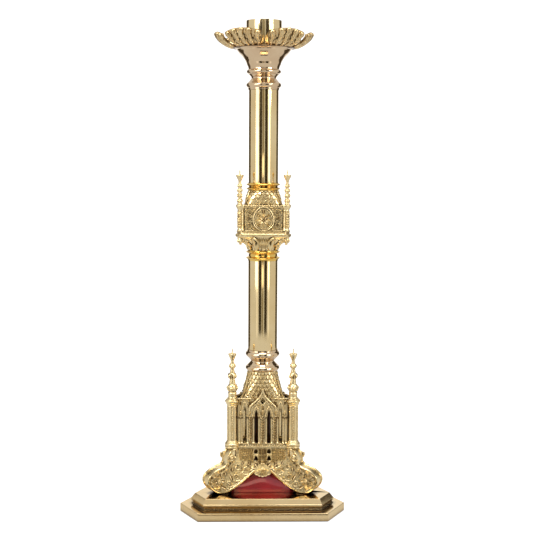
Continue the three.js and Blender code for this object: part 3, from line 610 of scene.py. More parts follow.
def make_base():
    lower = stepped([
        (0, LOWER_LOW), (0, LEDGE), (LEDGE_WIDTH + 8, LEDGE), (LEDGE_WIDTH + 8, LEDGE - SHEET_THICK),
        (SHEET_THICK, LEDGE - SHEET_THICK), (SHEET_THICK, LOWER_LOW),
    ])
    add_piece("plinth_lower_step", lower, SHEET, "stand", ["base_plinth_lower"], sharp=20, bevel=1.1)
    lip_low, lip_high = LEDGE + 8, LEDGE + 12.5
    cove = LEDGE_WIDTH + 3.5
    inner = SLOPE_TOP + 70
    upper = stepped([
        (LEDGE_WIDTH + 1.2, LEDGE + 0.05), (LEDGE_WIDTH + 1.2, LEDGE + 1.4), (cove - 0.2, LEDGE + 2.4),
        (cove, LEDGE + 4), (cove, lip_low - 2), (cove - 1, lip_low - 0.4), (LEDGE_WIDTH + 0.2, lip_low),
        (LEDGE_WIDTH, lip_high), (LEDGE_WIDTH + 0.6, lip_high + 0.4), (SLOPE_TOP - 0.4, DECK - 0.4),
        (SLOPE_TOP, DECK), (inner, DECK), (inner, DECK - SHEET_THICK),
        (SLOPE_TOP + SHEET_THICK, DECK - SHEET_THICK), (cove + SHEET_THICK, LEDGE + 0.05),
    ])
    add_piece("plinth_upper_step", upper, SHEET, "stand", ["base_plinth_upper"], sharp=20, bevel=0.4)
    for node in ("base_felt_pad", "base_closing_plate", "tie_rod", "rod_washer_lower", "rod_nut_lower",
                 "rod_washer_upper", "rod_nut_upper"):
        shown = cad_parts[node].data.materials
        shown.clear()
        shown.append(FELT if node == "base_felt_pad" else STEEL)


def make_dome():
    low, high = span("red_dome")
    front = -span("red_dome", 1)[0]
    rise = high - low
    levels = smooth_line([
        (low, front, 96, 70, 0), (low + 0.16 * rise, front - 1, 94, 70, 0),
        (low + 0.42 * rise, front - 8, 82, 62, 0.15), (low + 0.68 * rise, front - 19, 64, 50, 0.4),
        (low + 0.9 * rise, front - 33, 40, 36, 0.7), (high, front - 45, 20, 20, 1),
    ], 8)
    add_piece("enamel_dome", lofted(levels, crispness=22), RED, "stand", ["red_dome"])


# Feet and arches ------------------------------------------------------------------------
TOWER_LOW, TOWER_DECK = span("tower_deck")
ARCH_LOW, ARCH_HIGH = span("arch_front")
ARCH_FRONT_TOP = -span("arch_front", 1)[1] + 6
ARCH_LEAN = 0.3
ARCH_THICK = 6.0
FOOT_HALF = 15.0


def bezier(start, one, two, end, count=12):
    t = np.linspace(0, 1, count)[:, None]
    start, one, two, end = (np.array(p, float) for p in (start, one, two, end))
    return (1 - t) ** 3 * start + 3 * t * (1 - t) ** 2 * one + 3 * t ** 2 * (1 - t) * two + t ** 3 * end


FOOT_RIM = 3.1
EAR_PLACE = (93, 127)
SLOT_PLACE = 15


def foot_line():
    """The scrolled foot in its radial plane: distance from the axis against height."""
    top = TOWER_LOW - 0.3
    return np.concatenate([
        [(74, top)], bezier((86, top), (96, 139), (101, 129), (101, 117))[:-1],
        bezier((101, 117), (101, 108), (113, 107), (123, 104))[:-1],
        bezier((123, 104), (138, 98), (152, 91), (152, 77))[:-1],
        bezier((152, 77), (151, 63), (132, DECK), (113, DECK)),
        bezier((98, DECK), (104, 62), (96, 86), (90, 98))[:-1],
        bezier((90, 98), (85, 109), (80, 117), (74, 124)),
    ])


def drawn_in(outline, amount):
    """A closed outline moved inwards by an even amount."""
    outline = np.array(outline, float)
    along = np.roll(outline, -1, axis=0) - np.roll(outline, 1, axis=0)
    along /= np.maximum(np.linalg.norm(along, axis=1, keepdims=True), 1e-9)
    inward = np.stack([along[:, 1], -along[:, 0]], axis=1)
    return outline + amount * inward


FOOT_SCROLLS = [
    (132, 73, 15, 200, -1, 1.9, 1.4, 9, 4.2),
    (108, 89, 11.5, 250, 1, 1.6, 1.3, 8, 3.8),
    (92, 112, 8.5, 60, 1, 1.4, 1.3, 7, 3.4),
]
FOOT_LEAVES = [
    (118, 80, -62, 22, 9, 4.2), (117, 74, 200, 16, 8, 4.0), (112, 62, 60, 16, 8, 4.0),
    (108, 56, 118, 16, 7, 3.8), (119, 52, 20, 14, 7, 3.6), (120, 93, 30, 14, 7, 3.6),
    (81, 126, 250, 14, 7, 3.2), (98, 102, 130, 12, 6, 3.2), (144, 86, 120, 9, 5, 3.0),
    (103, 72, 100, 11, 6, 3.4),
]


def foot_ear():
    """A coiled volute that stands out on the foot's flank below the pier."""
    x, z = EAR_PLACE
    t = np.linspace(0, 1, 44)
    reach = 8.6 - 6.6 * t
    angle = 0.6 - 9.2 * t
    out = -FOOT_HALF - 2.0 - 3.2 * t
    coil = np.column_stack([x + reach * np.cos(angle), out, z + reach * np.sin(angle)])
    return combine(roll(coil, 2.9 - 1.0 * t, 9), ball((x, -FOOT_HALF - 4.8, z), 3.0, 12, 9))


def slot_holes(x):
    """A pierced light of the skirt: a six-sided eye over a forked slot."""
    eye = [(-4.2, 132.2), (4.2, 132.2), (4.6, 137), (2.8, 141.6), (-2.8, 141.6), (-4.6, 137)]
    fork = [(-5.4, 114.5), (-2.2, 117.6), (0, 116.2), (2.2, 117.6), (5.4, 114.5),
            (4.2, 121), (2.4, 125.6), (0, 127.4), (-2.4, 125.6), (-4.2, 121)]
    return [[(x + dx, z) for dx, z in loop] for loop in (eye, fork)]


def make_feet():
    outline = foot_line()
    flank = FOOT_HALF - 3.0
    body = moved(flat_outline(drawn_in(outline, 1.5), 2 * flank, 0.6), y=-flank)
    relief = upright(combine(scrolls(FOOT_SCROLLS), leaves(FOOT_LEAVES)), -flank + 0.4)
    rim_line = drawn_in(outline, FOOT_RIM - 0.5)
    rims = []
    for y in (-FOOT_HALF + 2.9, FOOT_HALF - 2.9):
        path = np.column_stack([rim_line[:, 0], np.full(len(rim_line), y), rim_line[:, 1]])
        rims.append(roll(path, FOOT_RIM, 10, closed=True))
    foot = combine(body, both_sides(relief, 1), both_sides(foot_ear(), 1))
    for place, turn in CORNERS.items():
        # A foot is drawn along +X, and the corners are counted from -Y.
        turn -= 90
        add_piece("scroll_foot_" + place, turned(foot, turn), GILT, "stand", ["foot_" + place], sharp=50)
        add_piece("foot_rims_" + place, turned(combine(*rims), turn), BURNISHED, "stand", sharp=50)


def arch_line():
    """Half of the arch's lower edge, from the foot to the middle, as x against height."""
    t = np.linspace(0, 1, 16)[:, None]
    foot, bend, crown = np.array([-86, DECK + 4]), np.array([-62, 56]), np.array([-20, 94])
    slope = (1 - t) ** 2 * foot + 2 * t * (1 - t) * bend + t ** 2 * crown
    return np.concatenate([[(-100, ARCH_LOW)], slope])


def shell_edge(count=5):
    """The scalloped lower edge of the keystone shell between the two slopes."""
    edge = []
    for k in range(count):
        for s in np.linspace(0, 1, 7)[:-1]:
            x = -19 + 38 * (k + s) / count
            edge.append((x, 90.5 - 6.5 * math.cos(x / 19 * math.pi / 2) - 2.6 * math.sin(math.pi * s)))
    return edge + [(19, 90.5)]


def lean_out(points):
    """Sets an upright arch, drawn with its front at y = 0, on the casting's sloping face."""
    out = points.copy()
    out[:, 1] += -ARCH_FRONT_TOP - ARCH_LEAN * (ARCH_HIGH - points[:, 2])
    return out


ARCH_SCROLLS = [
    (-38, 97, 11, 215, 1, 1.4, 1.3, 7, 3.6), (-60, 82, 10.5, 30, -1, 1.4, 1.3, 7, 3.6),
    (-76, 66, 8, 200, -1, 1.2, 1.3, 6, 3.2), (-57, 105, 8.5, 20, -1, 1.2, 1.2, 6, 3.2),
]
ARCH_LEAVES = [
    (-23, 100, 200, 12, 6, 3.4), (-26, 106, 150, 12, 6, 3.2), (-50, 92, 35, 13, 6, 3.2),
    (-70, 76, 120, 14, 7, 3.4), (-84, 56, 150, 13, 7, 3.4), (-48, 76, 10, 13, 6, 3.2),
    (-76, 56, 20, 12, 6, 3.0), (-70, 92, 80, 12, 6, 3.0), (-12, 104, 130, 13, 7, 3.4),
    (-9, 108, 100, 10, 6, 3.2), (-16, 101, 165, 11, 6, 3.2), (-13, 113, 60, 9, 5, 2.8),
    (-30, 108, 95, 11, 6, 3.2), (-34, 84, 60, 11, 6, 3.2), (-44, 108, 120, 11, 6, 3.2),
    (-64, 100, 60, 12, 6, 3.2), (-58, 66, 70, 11, 6, 3.2),
]
ARCH_BRAIDS = [(-24, 112, 143, 6.4, 3.0), (-32, 114, 143, 7, 3.0), (-41, 116, 143, 8, 3.2),
               (-50, 119, 143, 8, 3.2), (-7, 112, 143, 5.6, 3.0)]


def make_arches():
    half = arch_line()
    right = half[::-1] * np.array([-1, 1])
    outline = [tuple(p) for p in half] + shell_edge() + [tuple(p) for p in right]
    outline += [(62, ARCH_HIGH), (-62, ARCH_HIGH)]
    holes = [hole for x in (-SLOT_PLACE, SLOT_PLACE) for hole in slot_holes(x)]
    plate = flat_outline(outline, ARCH_THICK, 0.8, holes)
    rim_path = flat_path(half[1:] + np.array([1.2, 2.8]), 0.4)
    inner_path = rim_path[:-1] + np.array([2.4, 5.2, -0.2])
    field = combine(roll(inner_path, 1.1, 6), scrolls(ARCH_SCROLLS), leaves(ARCH_LEAVES),
                    braids(ARCH_BRAIDS))
    ribs = leaves([(0, 99, a, 15.5, 5.6, 4.4, 1.0) for a in (-158, -130, -104, -76, -50, -22)])
    shell_rim = roll(flat_path(np.array(shell_edge()) + np.array([0, 1.2]), 0.8), 1.5, 6)
    keystone = combine(ribs, ball((0, 100, 1.8), 3.6, 12, 8), rosette(0, 112, 6.5, 6, 3.4),
                       braid(0, 120, 143, 6.4, 3.2), shell_rim)
    top = roll([(-60, ARCH_HIGH - 0.9, 0.8), (60, ARCH_HIGH - 0.9, 0.8)], 1.1, 8)
    beads = bead_row([(-58, 129.8, 0.8), (58, 129.8, 0.8)], 3.4, 1.2)
    relief = combine(both_sides(field), keystone, top, beads)
    arch = mapped(combine(plate, upright(relief, 0)), lean_out)
    band = mapped(upright(both_sides(roll(rim_path, 2.9, 10)), 0), lean_out)
    for place, turn in SIDES.items():
        add_piece("arch_casting_" + place, turned(arch, turn), GILT, "stand", ["arch_" + place], sharp=50)
        add_piece("arch_band_" + place, turned(band, turn), BURNISHED, "stand", sharp=50)


# Tower ----------------------------------------------------------------------------------
PANEL_FRONT = -span("tower_panel_front", 1)[0]
PANEL_HALF = span("tower_panel_front", 0)[1]
GABLE_TOP = span("tower_panel_front")[1]
CORNICE = 262
PIER_TOP = span("tower_pier_rear")[1]
PIER_RADIUS = 11.3
PINNACLE_REACH = 80.8
KNOP_PINNACLE_REACH = 62.1
PIER_REACH = 81.0
WINDOW_LOW = TOWER_DECK + 5


def pointed_light(x, low, spring, top, width, cusp=0.0):
    """A window: straight jambs and a pointed head, with cusps that make it three-lobed."""
    half = width / 2
    right = [(x + half, low), (x + half, spring)]
    for t in np.linspace(0.12, 1, 10):
        bulge = cusp * abs(math.sin(2 * math.pi * t)) * half
        right.append((x + half * (1 - t ** 2.2) - bulge * (1 - t), spring + (top - spring) * t))
    left = [(2 * x - px, pz) for px, pz in reversed(right[:-1])]
    return right + left


def quatrefoil(x, z, radius):
    loop = []
    for k in range(4):
        centre = math.radians(90 * k)
        for a in np.linspace(-75, 75, 7):
            lobe = centre + math.radians(a)
            loop.append((x + radius * (0.52 * math.cos(centre) + 0.46 * math.cos(lobe)),
                         z + 1.25 * radius * (0.52 * math.sin(centre) + 0.46 * math.sin(lobe))))
    return loop


WINDOWS = {"middle": (14.6, 217, 235, 8.6), "outer": (41, 225, 243, 8.4)}


def gable_line():
    """Half of the ogee gable, from its pendant up to the apex."""
    return smooth_line([(-31, 234), (-29.4, 242), (-20, 251.6), (-10, 261), (-4.4, 269), (-1.4, 276),
                        (0, GABLE_TOP - 1.4)], 5)


def hood(path, height, radius):
    """A roll moulding on the panel's face along x-z points."""
    return roll(flat_path(path, height), radius, 8)


def colonnette(x):
    """A slim shaft in front of a mullion, with a base and a leafy capital."""
    r, low, high = 1.6, WINDOW_LOW, 222
    shaft = revolve(filleted([
        (0.05, low), (r + 1.5, low), (r + 1.5, low + 2), (r + 0.4, low + 4), (r, low + 6), (r, high - 8),
        (r + 0.5, high - 7), (r + 0.2, high - 6), (r + 1.9, high - 1.5), (r + 1.9, high), (0.05, high),
    ], 0.5, 3), 14)
    capital = leaves([(x + dx, high - 8, 90, 7, 3, 3.2) for dx in (-2, 0, 2)])
    return combine(moved(shaft, x, -0.6, 0), upright(capital, -0.4))


def panel_plate():
    inside = [(x, z) for x, z in gable_line() if z > CORNICE + 0.5]
    outline = [(-PANEL_HALF, TOWER_DECK), (PANEL_HALF, TOWER_DECK), (PANEL_HALF, CORNICE)]
    outline += [(-x, z) for x, z in inside] + [(0, GABLE_TOP)]
    outline += list(reversed(inside)) + [(-PANEL_HALF, CORNICE)]
    holes = [pointed_light(hand * x, WINDOW_LOW, spring, top, width, 0.35)
             for x, spring, top, width in WINDOWS.values() for hand in (-1, 1)]
    holes.append(quatrefoil(0, CORNICE - 7, 5.6))
    return flat_outline(outline, 5.0, 0.7, holes)


def window_hood(x, spring, top, half, drop):
    """The cusped gablet over one light, with beads along its back."""
    left = smooth_line([(x - half, spring - drop), (x - half + 0.4, spring),
                        (x - half * 0.6, spring + (top - spring) * 0.55), (x, top)], 5)
    right = np.array([(2 * x - px, pz) for px, pz in left[::-1][1:]])
    path = np.concatenate([left, right])
    return combine(hood(path, 1.6, 1.5), bead_row(flat_path(path + np.array([0, 2.4]), 0.9), 2.9, 1.25))


def tassel(x, top):
    """A leafy drop where two gablets meet."""
    return combine(
        leaves([(x, top, -90, 12, 6.5, 4.2), (x, top, -66, 9, 4.4, 3.4), (x, top, -114, 9, 4.4, 3.4)]),
        ball((x, top - 12.5, 1.4), 1.9, 8, 6), ball((x, top + 1, 2.0), 2.4, 10, 7),
    )


def half_panel_relief():
    gable = gable_line()
    inner = gable[3:] + np.array([3.4, -4.2])
    paired = inner[np.minimum(range(len(gable) - 2), len(inner) - 1)]
    parts = [
        hood(gable, 2.2, 2.3), hood(inner, 1.2, 1.0),
        bead_row(flat_path((gable[2:] + paired) / 2, 1.0), 3.0, 1.15),
        window_hood(-14.6, 222, 243, 8.6, 5), window_hood(-41, 229, 254, 8.6, 6),
        rosette(-22, CORNICE + 0.5, 4.6, 6, 2.8), rosette(-51.5, CORNICE - 6, 4.4, 5, 2.6),
        rosette(-31, CORNICE - 6, 4.4, 5, 2.6), rosette(-8.5, CORNICE - 17, 3.0, 5, 2.2),
        tassel(-30.5, 232), tassel(-50.5, 230),
        braids([(-51.5, 246, 256, 5, 2.2), (-23, 244, 256, 5, 2.2), (-30.5, 240, 252, 4.6, 2.0)]),
    ]
    # Crockets climb the gable's back.
    for x, z in gable[4:25:4]:
        parts.append(leaves([(x - 0.8, z + 1.4, 132, 6.4, 4.2, 3.8), (x - 0.8, z + 1.4, 80, 5.2, 3.6, 3.4)]))
    return combine(*parts)


def panel_relief():
    eye = quatrefoil(0, CORNICE - 7, 7.8)
    centre = combine(
        tassel(0, 231), braid(0, 234, 244, 6, 2.6), hood(eye + eye[:1], 0.9, 1.1),
        ball((0, GABLE_TOP - 3.0, 1.4), 2.8, 12, 8), braid(0, CORNICE + 2, GABLE_TOP - 7, 4.6, 2.2),
    )
    low, edge = TOWER_DECK, PANEL_HALF - 1
    strings = combine(
        hood([(-edge, low + 4.0), (edge, low + 4.0)], 0.8, 1.0),
        bead_row([(-PANEL_HALF + 2, low + 1.5, 1.8), (PANEL_HALF - 2, low + 1.5, 1.8)], 4.0, 1.8),
        hood([(-edge, CORNICE - 0.8), (-26, CORNICE - 0.8)], 1.4, 1.5),
        hood([(26, CORNICE - 0.8), (edge, CORNICE - 0.8)], 1.4, 1.5),
    )
    feet = [rosette(x, low + 9, 3.6, 6, 3.0) for x in (-51.5, -28, 0, 28, 51.5)]
    return combine(both_sides(half_panel_relief()), centre, strings, *feet)


SHAFT_PLACES = (-53.5, -47.5, -34.5, -21, -8.2, 8.2, 21, 34.5, 47.5, 53.5)


def make_tower_panels():
    shafts = [colonnette(x) for x in SHAFT_PLACES]
    fillings = braids([(x, WINDOW_LOW + 8, 218, 9.5, 3.0) for x in (-27.8, 27.8, 0)])
    flat = combine(panel_plate(), upright(combine(panel_relief(), fillings), 0), *shafts)
    add_round("tower_wall_", moved(flat, y=-PANEL_FRONT), GILT, SIDES, "tower_panel_")


TUBE_WALL = 2.0


def plain_tube(name, node, material, segments):
    low, high = span(node)
    outer = span(node, 0)[1]
    inner = outer - TUBE_WALL
    tube = filleted([(inner, low), (outer, low), (outer, high), (inner, high)], 0.4, 4, closed=True)
    add_piece(name, revolve(tube, segments, closed=True), material, "stand", [node], sharp=32)


def make_tower_core():
    """The plain tube behind the windows, round the tie rod, in brass painted near black as shade."""
    plain_tube("core_tube", "tower_core_tube", CORE_SHADE_BRASS, 64)


def make_tower_deck():
    low, high = span("tower_deck")
    foot = PIER_RADIUS + 5.5
    loop = [(x, y) for x, y, _ in cut_triangle(PANEL_FRONT + 4, PIER_REACH + 5)]
    slab = flat_outline(loop, high - low, 0.8)
    slab = (slab[0][:, [0, 2, 1]] * np.array([1, 1, -1]) + np.array([0, 0, high]), slab[1])
    edge = filleted([(0.05, low), (foot, low), (foot, high), (0.05, high)], 1.6, 5)
    lobe = moved(revolve(edge, 48), y=-PIER_REACH)
    lobes = [turned(lobe, turn) for turn in CORNERS.values()]
    add_piece("tower_floor", combine(slab, *lobes), GILT, "stand", ["tower_deck"], sharp=40)


def make_tower_piers():
    low, top, r = TOWER_DECK, PIER_TOP, PIER_RADIUS
    column = revolve(filleted([
        (0.05, low), (r + 4.4, low), (r + 5.4, low + 1.6), (r + 5.4, low + 6), (r + 2.4, low + 8),
        (r + 3.0, low + 9.6), (r, low + 12.6), (r, 241), (r + 1.2, 243), (r + 0.4, 245), (r + 2.6, 248),
        (r + 2.2, 250), (r + 5.2, 253.6), (r + 5.2, 257.4), (r + 2, 258.6), (r + 2, top), (0.05, top),
    ], 0.9, 4), 56)
    lines = []
    for a in (-150, -90, -30):
        x, y = on_circle(r + 0.4, a)
        lines.append(bead_row([(x, y, low + 15), (x, y, 239)], 4.2, 1.8))
    for a in (-172, -136, -104, -76, -44, -8):
        x, y = on_circle(r, a)
        lines.append(roll([(x, y, low + 14), (x, y, 241)], 1.0, 6))
    add_round("corner_pier_", moved(combine(column, *lines), y=-PIER_REACH), GILT, CORNERS, "tower_pier_")


def leafy_knob(z, radius, start=45.0):
    """A bulb of a pinnacle wrapped in leaves, with four buds that stand out round it."""
    parts = [ball((0, 0, z), radius * 0.84, 20, 13, 0.95)]
    bud = combine(ball((radius * 0.72, 0, z - radius * 0.05), radius * 0.32, 12, 9),
                  ball((radius * 0.56, 0, z - radius * 0.44), radius * 0.26, 10, 7))
    leaf = oriented(petal(radius * 1.1, radius * 0.7, radius * 0.18),
                    (radius * 0.70, 0, z - radius * 0.6), (0.12, 0, 0.99), (0, 1, 0), (0.99, 0, -0.12))
    for k in range(4):
        parts.append(turned(bud, start + 90 * k))
        parts.append(turned(leaf, start + 45 + 90 * k))
    return combine(*parts)


def spire(shaft, knobs, segments=28):
    """A pinnacle: a turned shaft from its [radius, z] profile, with leafy knobs on it."""
    parts = [leafy_knob(z, radius, 45 if k % 2 == 0 else 0) for k, (z, radius) in enumerate(knobs)]
    return combine(revolve(filleted(shaft, 0.8, 4), segments), *parts)


LARGE_KNOBS = [(286.5, 13.6), (314.5, 11), (337.2, 8.4)]
SMALL_KNOBS = [(715, 7.2), (727, 7.4), (738.5, 7.0), (749, 6.4)]


def make_pinnacles():
    low, high = span("tower_pinnacle_rear")
    shaft = [
        (0.05, low), (10.8, low), (10.8, low + 2.4), (9.6, low + 3.6), (9.6, low + 11), (10.6, low + 12.4),
        (9.4, low + 14.4), (7.4, low + 17), (7.4, 296), (6.4, 303), (5.6, 308), (5.6, 322), (4.4, 328.5),
        (4.2, 332), (4.2, 344), (3.4, 348.5), (4.4, 352), (9.2, 362.6), (9.3, 365.6), (4, 366.2),
        (1.4, 367.6), (1.1, high - 2), (0.3, high), (0.05, high),
    ]
    lobe = oriented(petal(13, 6.4, 1.2), (3.4, 0, 352.5), (0.42, 0, 0.90), (0, 1, 0), (0.90, 0, -0.42))
    large = combine(spire(shaft, LARGE_KNOBS), *[turned(lobe, 90 * k) for k in range(4)])
    large = moved(large, y=-PINNACLE_REACH)
    add_round("pinnacle_large_", large, GILT, CORNERS, "tower_pinnacle_", sharp=55)
    low, high = span("knop_pinnacle_rear")
    shaft = [
        (0.05, low), (5.8, low), (5.8, low + 2), (4.6, low + 4), (3.6, 740), (3.2, 755), (3.2, 758),
        (4.2, 761.5), (8.6, 770.5), (8.8, 773.4), (3.4, 773.0), (1.6, 774.4), (1.0, high - 2),
        (0.3, high), (0.05, high),
    ]
    small = moved(spire(shaft, SMALL_KNOBS, 12), y=-KNOP_PINNACLE_REACH)
    add_round("pinnacle_small_", small, GILT, CORNERS, "knop_pinnacle_", sharp=40)


ROOF_CRISPNESS = 18.0
SCALE_RELIEF = 3.4


def tiled_roof(levels, rows, columns, relief, across=432, up=120):
    """A roof skin with overlapping pointed scales; the scale count goes round the whole roof."""
    stations = smooth_line(levels, up // (len(levels) - 1))
    u = np.linspace(0, columns, across, endpoint=False)
    rings = []
    for i, (z, side, corner, radius, roundness) in enumerate(stations):
        angle, reach = triangle_ring(side, corner, across, ROOF_CRISPNESS)
        reach = (1 - roundness) * reach + roundness * radius
        v = rows * i / (len(stations) - 1)
        height = np.zeros(across)
        for row in range(-1, rows + 1):
            from_middle = np.abs((u + 0.5 * (row % 2)) % 1.0 - 0.5) * 2
            above = v - (row + 0.55 * from_middle ** 1.4)
            groove = 0.5 * np.exp(-((above - 0.22) / 0.07) ** 2)
            lift = 1.0 - 0.62 * np.clip(above, 0, 1.5) / 1.5 - groove - 0.35 * from_middle ** 4
            height = np.where(above >= 0, lift, height)
        reach = reach + relief * (height - 1.0)
        rings.append(np.column_stack([reach * np.cos(angle), reach * np.sin(angle), np.full(across, z)]))
    return skin(np.array(rings), close_columns=True, caps=True)


def hip_rolls(levels, radius):
    """A plain roll down each of the three corners of a roof."""
    steps = 360
    corner_step = 60
    rolls = []
    for k in range(3):
        path = []
        for z, side, corner, round_radius, roundness in smooth_line(levels, 10):
            reach = triangle_ring(side, corner, steps, ROOF_CRISPNESS)[1][corner_step]
            here = (1 - roundness) * reach + roundness * round_radius
            path.append((*on_circle(here, -30 + 120 * k), z))
        rolls.append(roll(path, radius, 8))
    return combine(*rolls)


def make_tower_roof():
    low, high = span("tower_roof")
    levels = [(low, 39.6, 59.2, 48, 0), (low + 12, 38.4, 53.2, 45, 0.1), (low + 30, 36.8, 46.2, 41, 0.3),
              (low + 48, 35.6, 41.2, 37.8, 0.65), (high, 35.2, 37.2, 35.4, 1)]
    tiles = tiled_roof(levels, 8, 27, SCALE_RELIEF)
    add_piece("tower_tiles", tiles, GILT, "stand", ["tower_roof"], sharp=60)
    add_piece("tower_hips", hip_rolls(levels[:4], 2.6), BURNISHED, "stand", sharp=60)


# Column ---------------------------------------------------------------------------------
BORE = 22.0
ROD_BORE = 5.5
SPIGOT = 31.7
SEAT = 35.2
SEAT_DEPTH = 12


def ring_moulding(z, radius, half, root, steps=9):
    """A pointed torus: its profile from the lower root to the upper root."""
    t = np.linspace(-1, 1, steps)
    bulge = (1 - np.abs(t) ** 1.7) ** 0.75
    return [(root + (radius - root) * b, z + half * s) for s, b in zip(t, bulge)]


def turning(name, outside, node, material):
    """A hollow turning over its CAD node, bored for the tie rod at both ends."""
    low, high = span(node)
    closed = list(outside) + [(BORE, high), (BORE, low)]
    add_piece(name, revolve(closed, 128, closed=True), material, "stand", [node], sharp=32)


def neck(low, low_shoulder, root, middle, high_shoulder, high):
    """The deep round neck of a collar, down to a root radius at its middle height."""
    return filleted([
        (35, low), (34, low_shoulder), (root, middle - 1),
        (root, middle + 1), (34, high_shoulder), (35, high),
    ], 1.6, 5).tolist()


def make_column():
    low, high = span("collar_lower")
    seat = high - SEAT_DEPTH
    collar = [(SEAT, low)] + ring_moulding(326, 39.6, 6.2, 35.4)
    collar += neck(332.4, 333.8, 27.4, 342, 350.2, 351.6)
    collar += ring_moulding(358.6, 39.6, 6.8, 35.6)
    collar += [(35.4, seat - 1.4), (SEAT, seat - 0.8), (SEAT, seat), (SPIGOT, seat), (SPIGOT, high)]
    turning("turned_collar_lower", collar, "collar_lower", ROSE)

    plain_tube("column_tube_lower", "tube_lower", POLISHED, 160)
    plain_tube("column_tube_upper", "tube_upper", POLISHED, 160)

    low, high = span("knop_ring_lower")
    seat = low + SEAT_DEPTH
    lower = [(SPIGOT, low), (SPIGOT, seat)] + waisted(seat, high, 582.6, 596.6, 33.3)
    turning("waist_ring_lower", lower, "knop_ring_lower", ORANGE)
    low, high = span("knop_ring_upper")
    seat = high - SEAT_DEPTH
    upper = waisted(low, seat, 741.5, 751, 33.2) + [(SPIGOT, seat), (SPIGOT, high)]
    turning("waist_ring_upper", upper, "knop_ring_upper", ORANGE)

    low, high = span("collar_upper")
    seat = low + SEAT_DEPTH
    collar = [(SPIGOT, low), (SPIGOT, seat), (SEAT, seat), (SEAT, seat + 1.4), (35.6, seat + 2)]
    collar += ring_moulding(975, 39.9, 6.4, 35.6) + neck(981.6, 983, 28.2, 991, 998.6, 999.8)
    collar += ring_moulding(1005, 39.2, 5.0, 35.6) + [(SEAT, high - 1.5), (SEAT, high)]
    turning("turned_collar_upper", collar, "collar_upper", ROSE)


def waisted(low, high, first, second, waist):
    """Two thin sharp flanges with a deep waist between them."""
    hollow = [(35, first + 2.7), (waist, first + 4), (waist, second - 4), (35, second - 2.7)]
    return ([(SEAT, low), (SEAT, first - 3)] + ring_moulding(first, 39.2, 2.5, 35.4, 7)
            + filleted(hollow, 2, 5).tolist() + ring_moulding(second, 39.2, 2.5, 35.4, 7)
            + [(SEAT, second + 3), (SEAT, high)])


# Knop -----------------------------------------------------------------------------------
BELL_LOW, BELL_HIGH = span("knop_bell")
KNOP_FRONT = -span("knop_panel_front", 1)[0] - 2
KNOP_HALF = span("knop_panel_front", 0)[1]
KNOP_TOP = span("knop_panel_front")[1]
TURRET_REACH = 58.2


TURRET_RADIUS = 7.8


def acanthus(stations, thick, lobes=5, relief=1.0):
    """A leaf along (reach, z, half width) stations: lobed edges, fanning ribs and a thick rib.

    It faces -Y; the surface grid is closed with an underside at an even distance. A relief of 0
    leaves it smooth.
    """
    line = smooth_line(stations, 40 // (len(stations) - 1))
    s = np.linspace(0, 1, len(line))[:, None]
    t = np.linspace(-1, 1, 45)[None, :]
    lobe = 1 + 0.13 * relief * np.cos(2 * math.pi * lobes * s) * np.abs(t) ** 2
    x = t * line[:, 2:3] * lobe
    y = -line[:, 0:1] + 0.10 * np.abs(x) * (0.4 + s)
    z = line[:, 1:2] + np.zeros_like(t)
    rib = np.abs(np.sin(math.pi * (lobes * s - 1.8 * np.abs(t))))
    fold = 1.6 * thick * (1 - rib) * (0.3 + np.abs(t)) + 1.4 * thick * np.exp(-(t / 0.16) ** 2)
    height = relief * fold + (1 - relief) * 2.2 * thick * (1 - t ** 2)
    along = np.gradient(line[:, :2], axis=0)
    along /= np.linalg.norm(along, axis=1, keepdims=True)
    out_y, out_z = -along[:, 1:2], -along[:, 0:1]
    top = np.stack([x, y + out_y * height, z + out_z * height], axis=2)
    under = np.stack([x, y - out_y * thick, z - out_z * thick], axis=2)
    loops = np.concatenate([top, under[:, ::-1]], axis=1)
    return skin(loops, close_columns=True, caps=True)


def bell_fan():
    """The fan of narrow leaves low on each side of the calyx, over a bead."""
    low = BELL_LOW
    blades = [oriented(petal(29, 6.4 - 0.5 * abs(k), 3.4, 0.8), (k * 0.9, -34.4, low + 2.4),
                       (0.13 * k, -0.36, 0.93), (1, 0, -0.13 * k), (0, -0.93, -0.36))
              for k in (-3, -2, -1, 0, 1, 2, 3)]
    return combine(*blades, ball((0, -34.6, low + 3), 3.4, 12, 8))


def make_knop_bell():
    low, high = BELL_LOW, BELL_HIGH
    flare = smooth_line([
        (low, 32, 32, 32.6, 1), (low + 5, 33, 35, 33.4, 1), (low + 12, 35, 41, 37, 0.9),
        (low + 20, 37, 49, 41, 0.6), (low + 28, 40, 60, 46, 0.25)], 6)
    rim = [(low + 31.5, 42.4, 66.6, 54, 0.02), (low + 33, 43.6, 68, 54, 0), (low + 38, 43.6, 68, 54, 0),
           (low + 39.5, 41.4, 64.6, 54, 0), (low + 42, 41, 64, 54, 0), (low + 43, 42.4, 65.4, 54, 0),
           (high, 42.4, 65.4, 54, 0)]
    body = lofted(list(flare) + rim, 216, 40.0)
    corner = acanthus([(33.6, low + 1, 5), (38, low + 9, 9.5), (46, low + 18, 12), (55, low + 25, 11),
                       (62, low + 30, 7.5), (65.5, low + 30.5, 2)], 1.5, 4)
    side = acanthus([(33.4, low + 1, 4.2), (36.4, low + 9, 7), (41.5, low + 18, 8.4), (48, low + 26, 7),
                     (52.5, low + 31.4, 2)], 1.5, 3, 0.0)
    parts = [body] + [turned(bell_fan(), turn) for turn in SIDES.values()]
    smooth = []
    for turn in CORNERS.values():
        parts += [turned(corner, turn), turned(pendant(), turn)]
        smooth += [turned(side, turn + nudge) for nudge in (-33, 33)]
    add_piece("knop_calyx", combine(*parts), GILT, "stand", ["knop_bell"], sharp=50)
    add_piece("knop_side_leaves", combine(*smooth), BURNISHED, "stand", sharp=50)


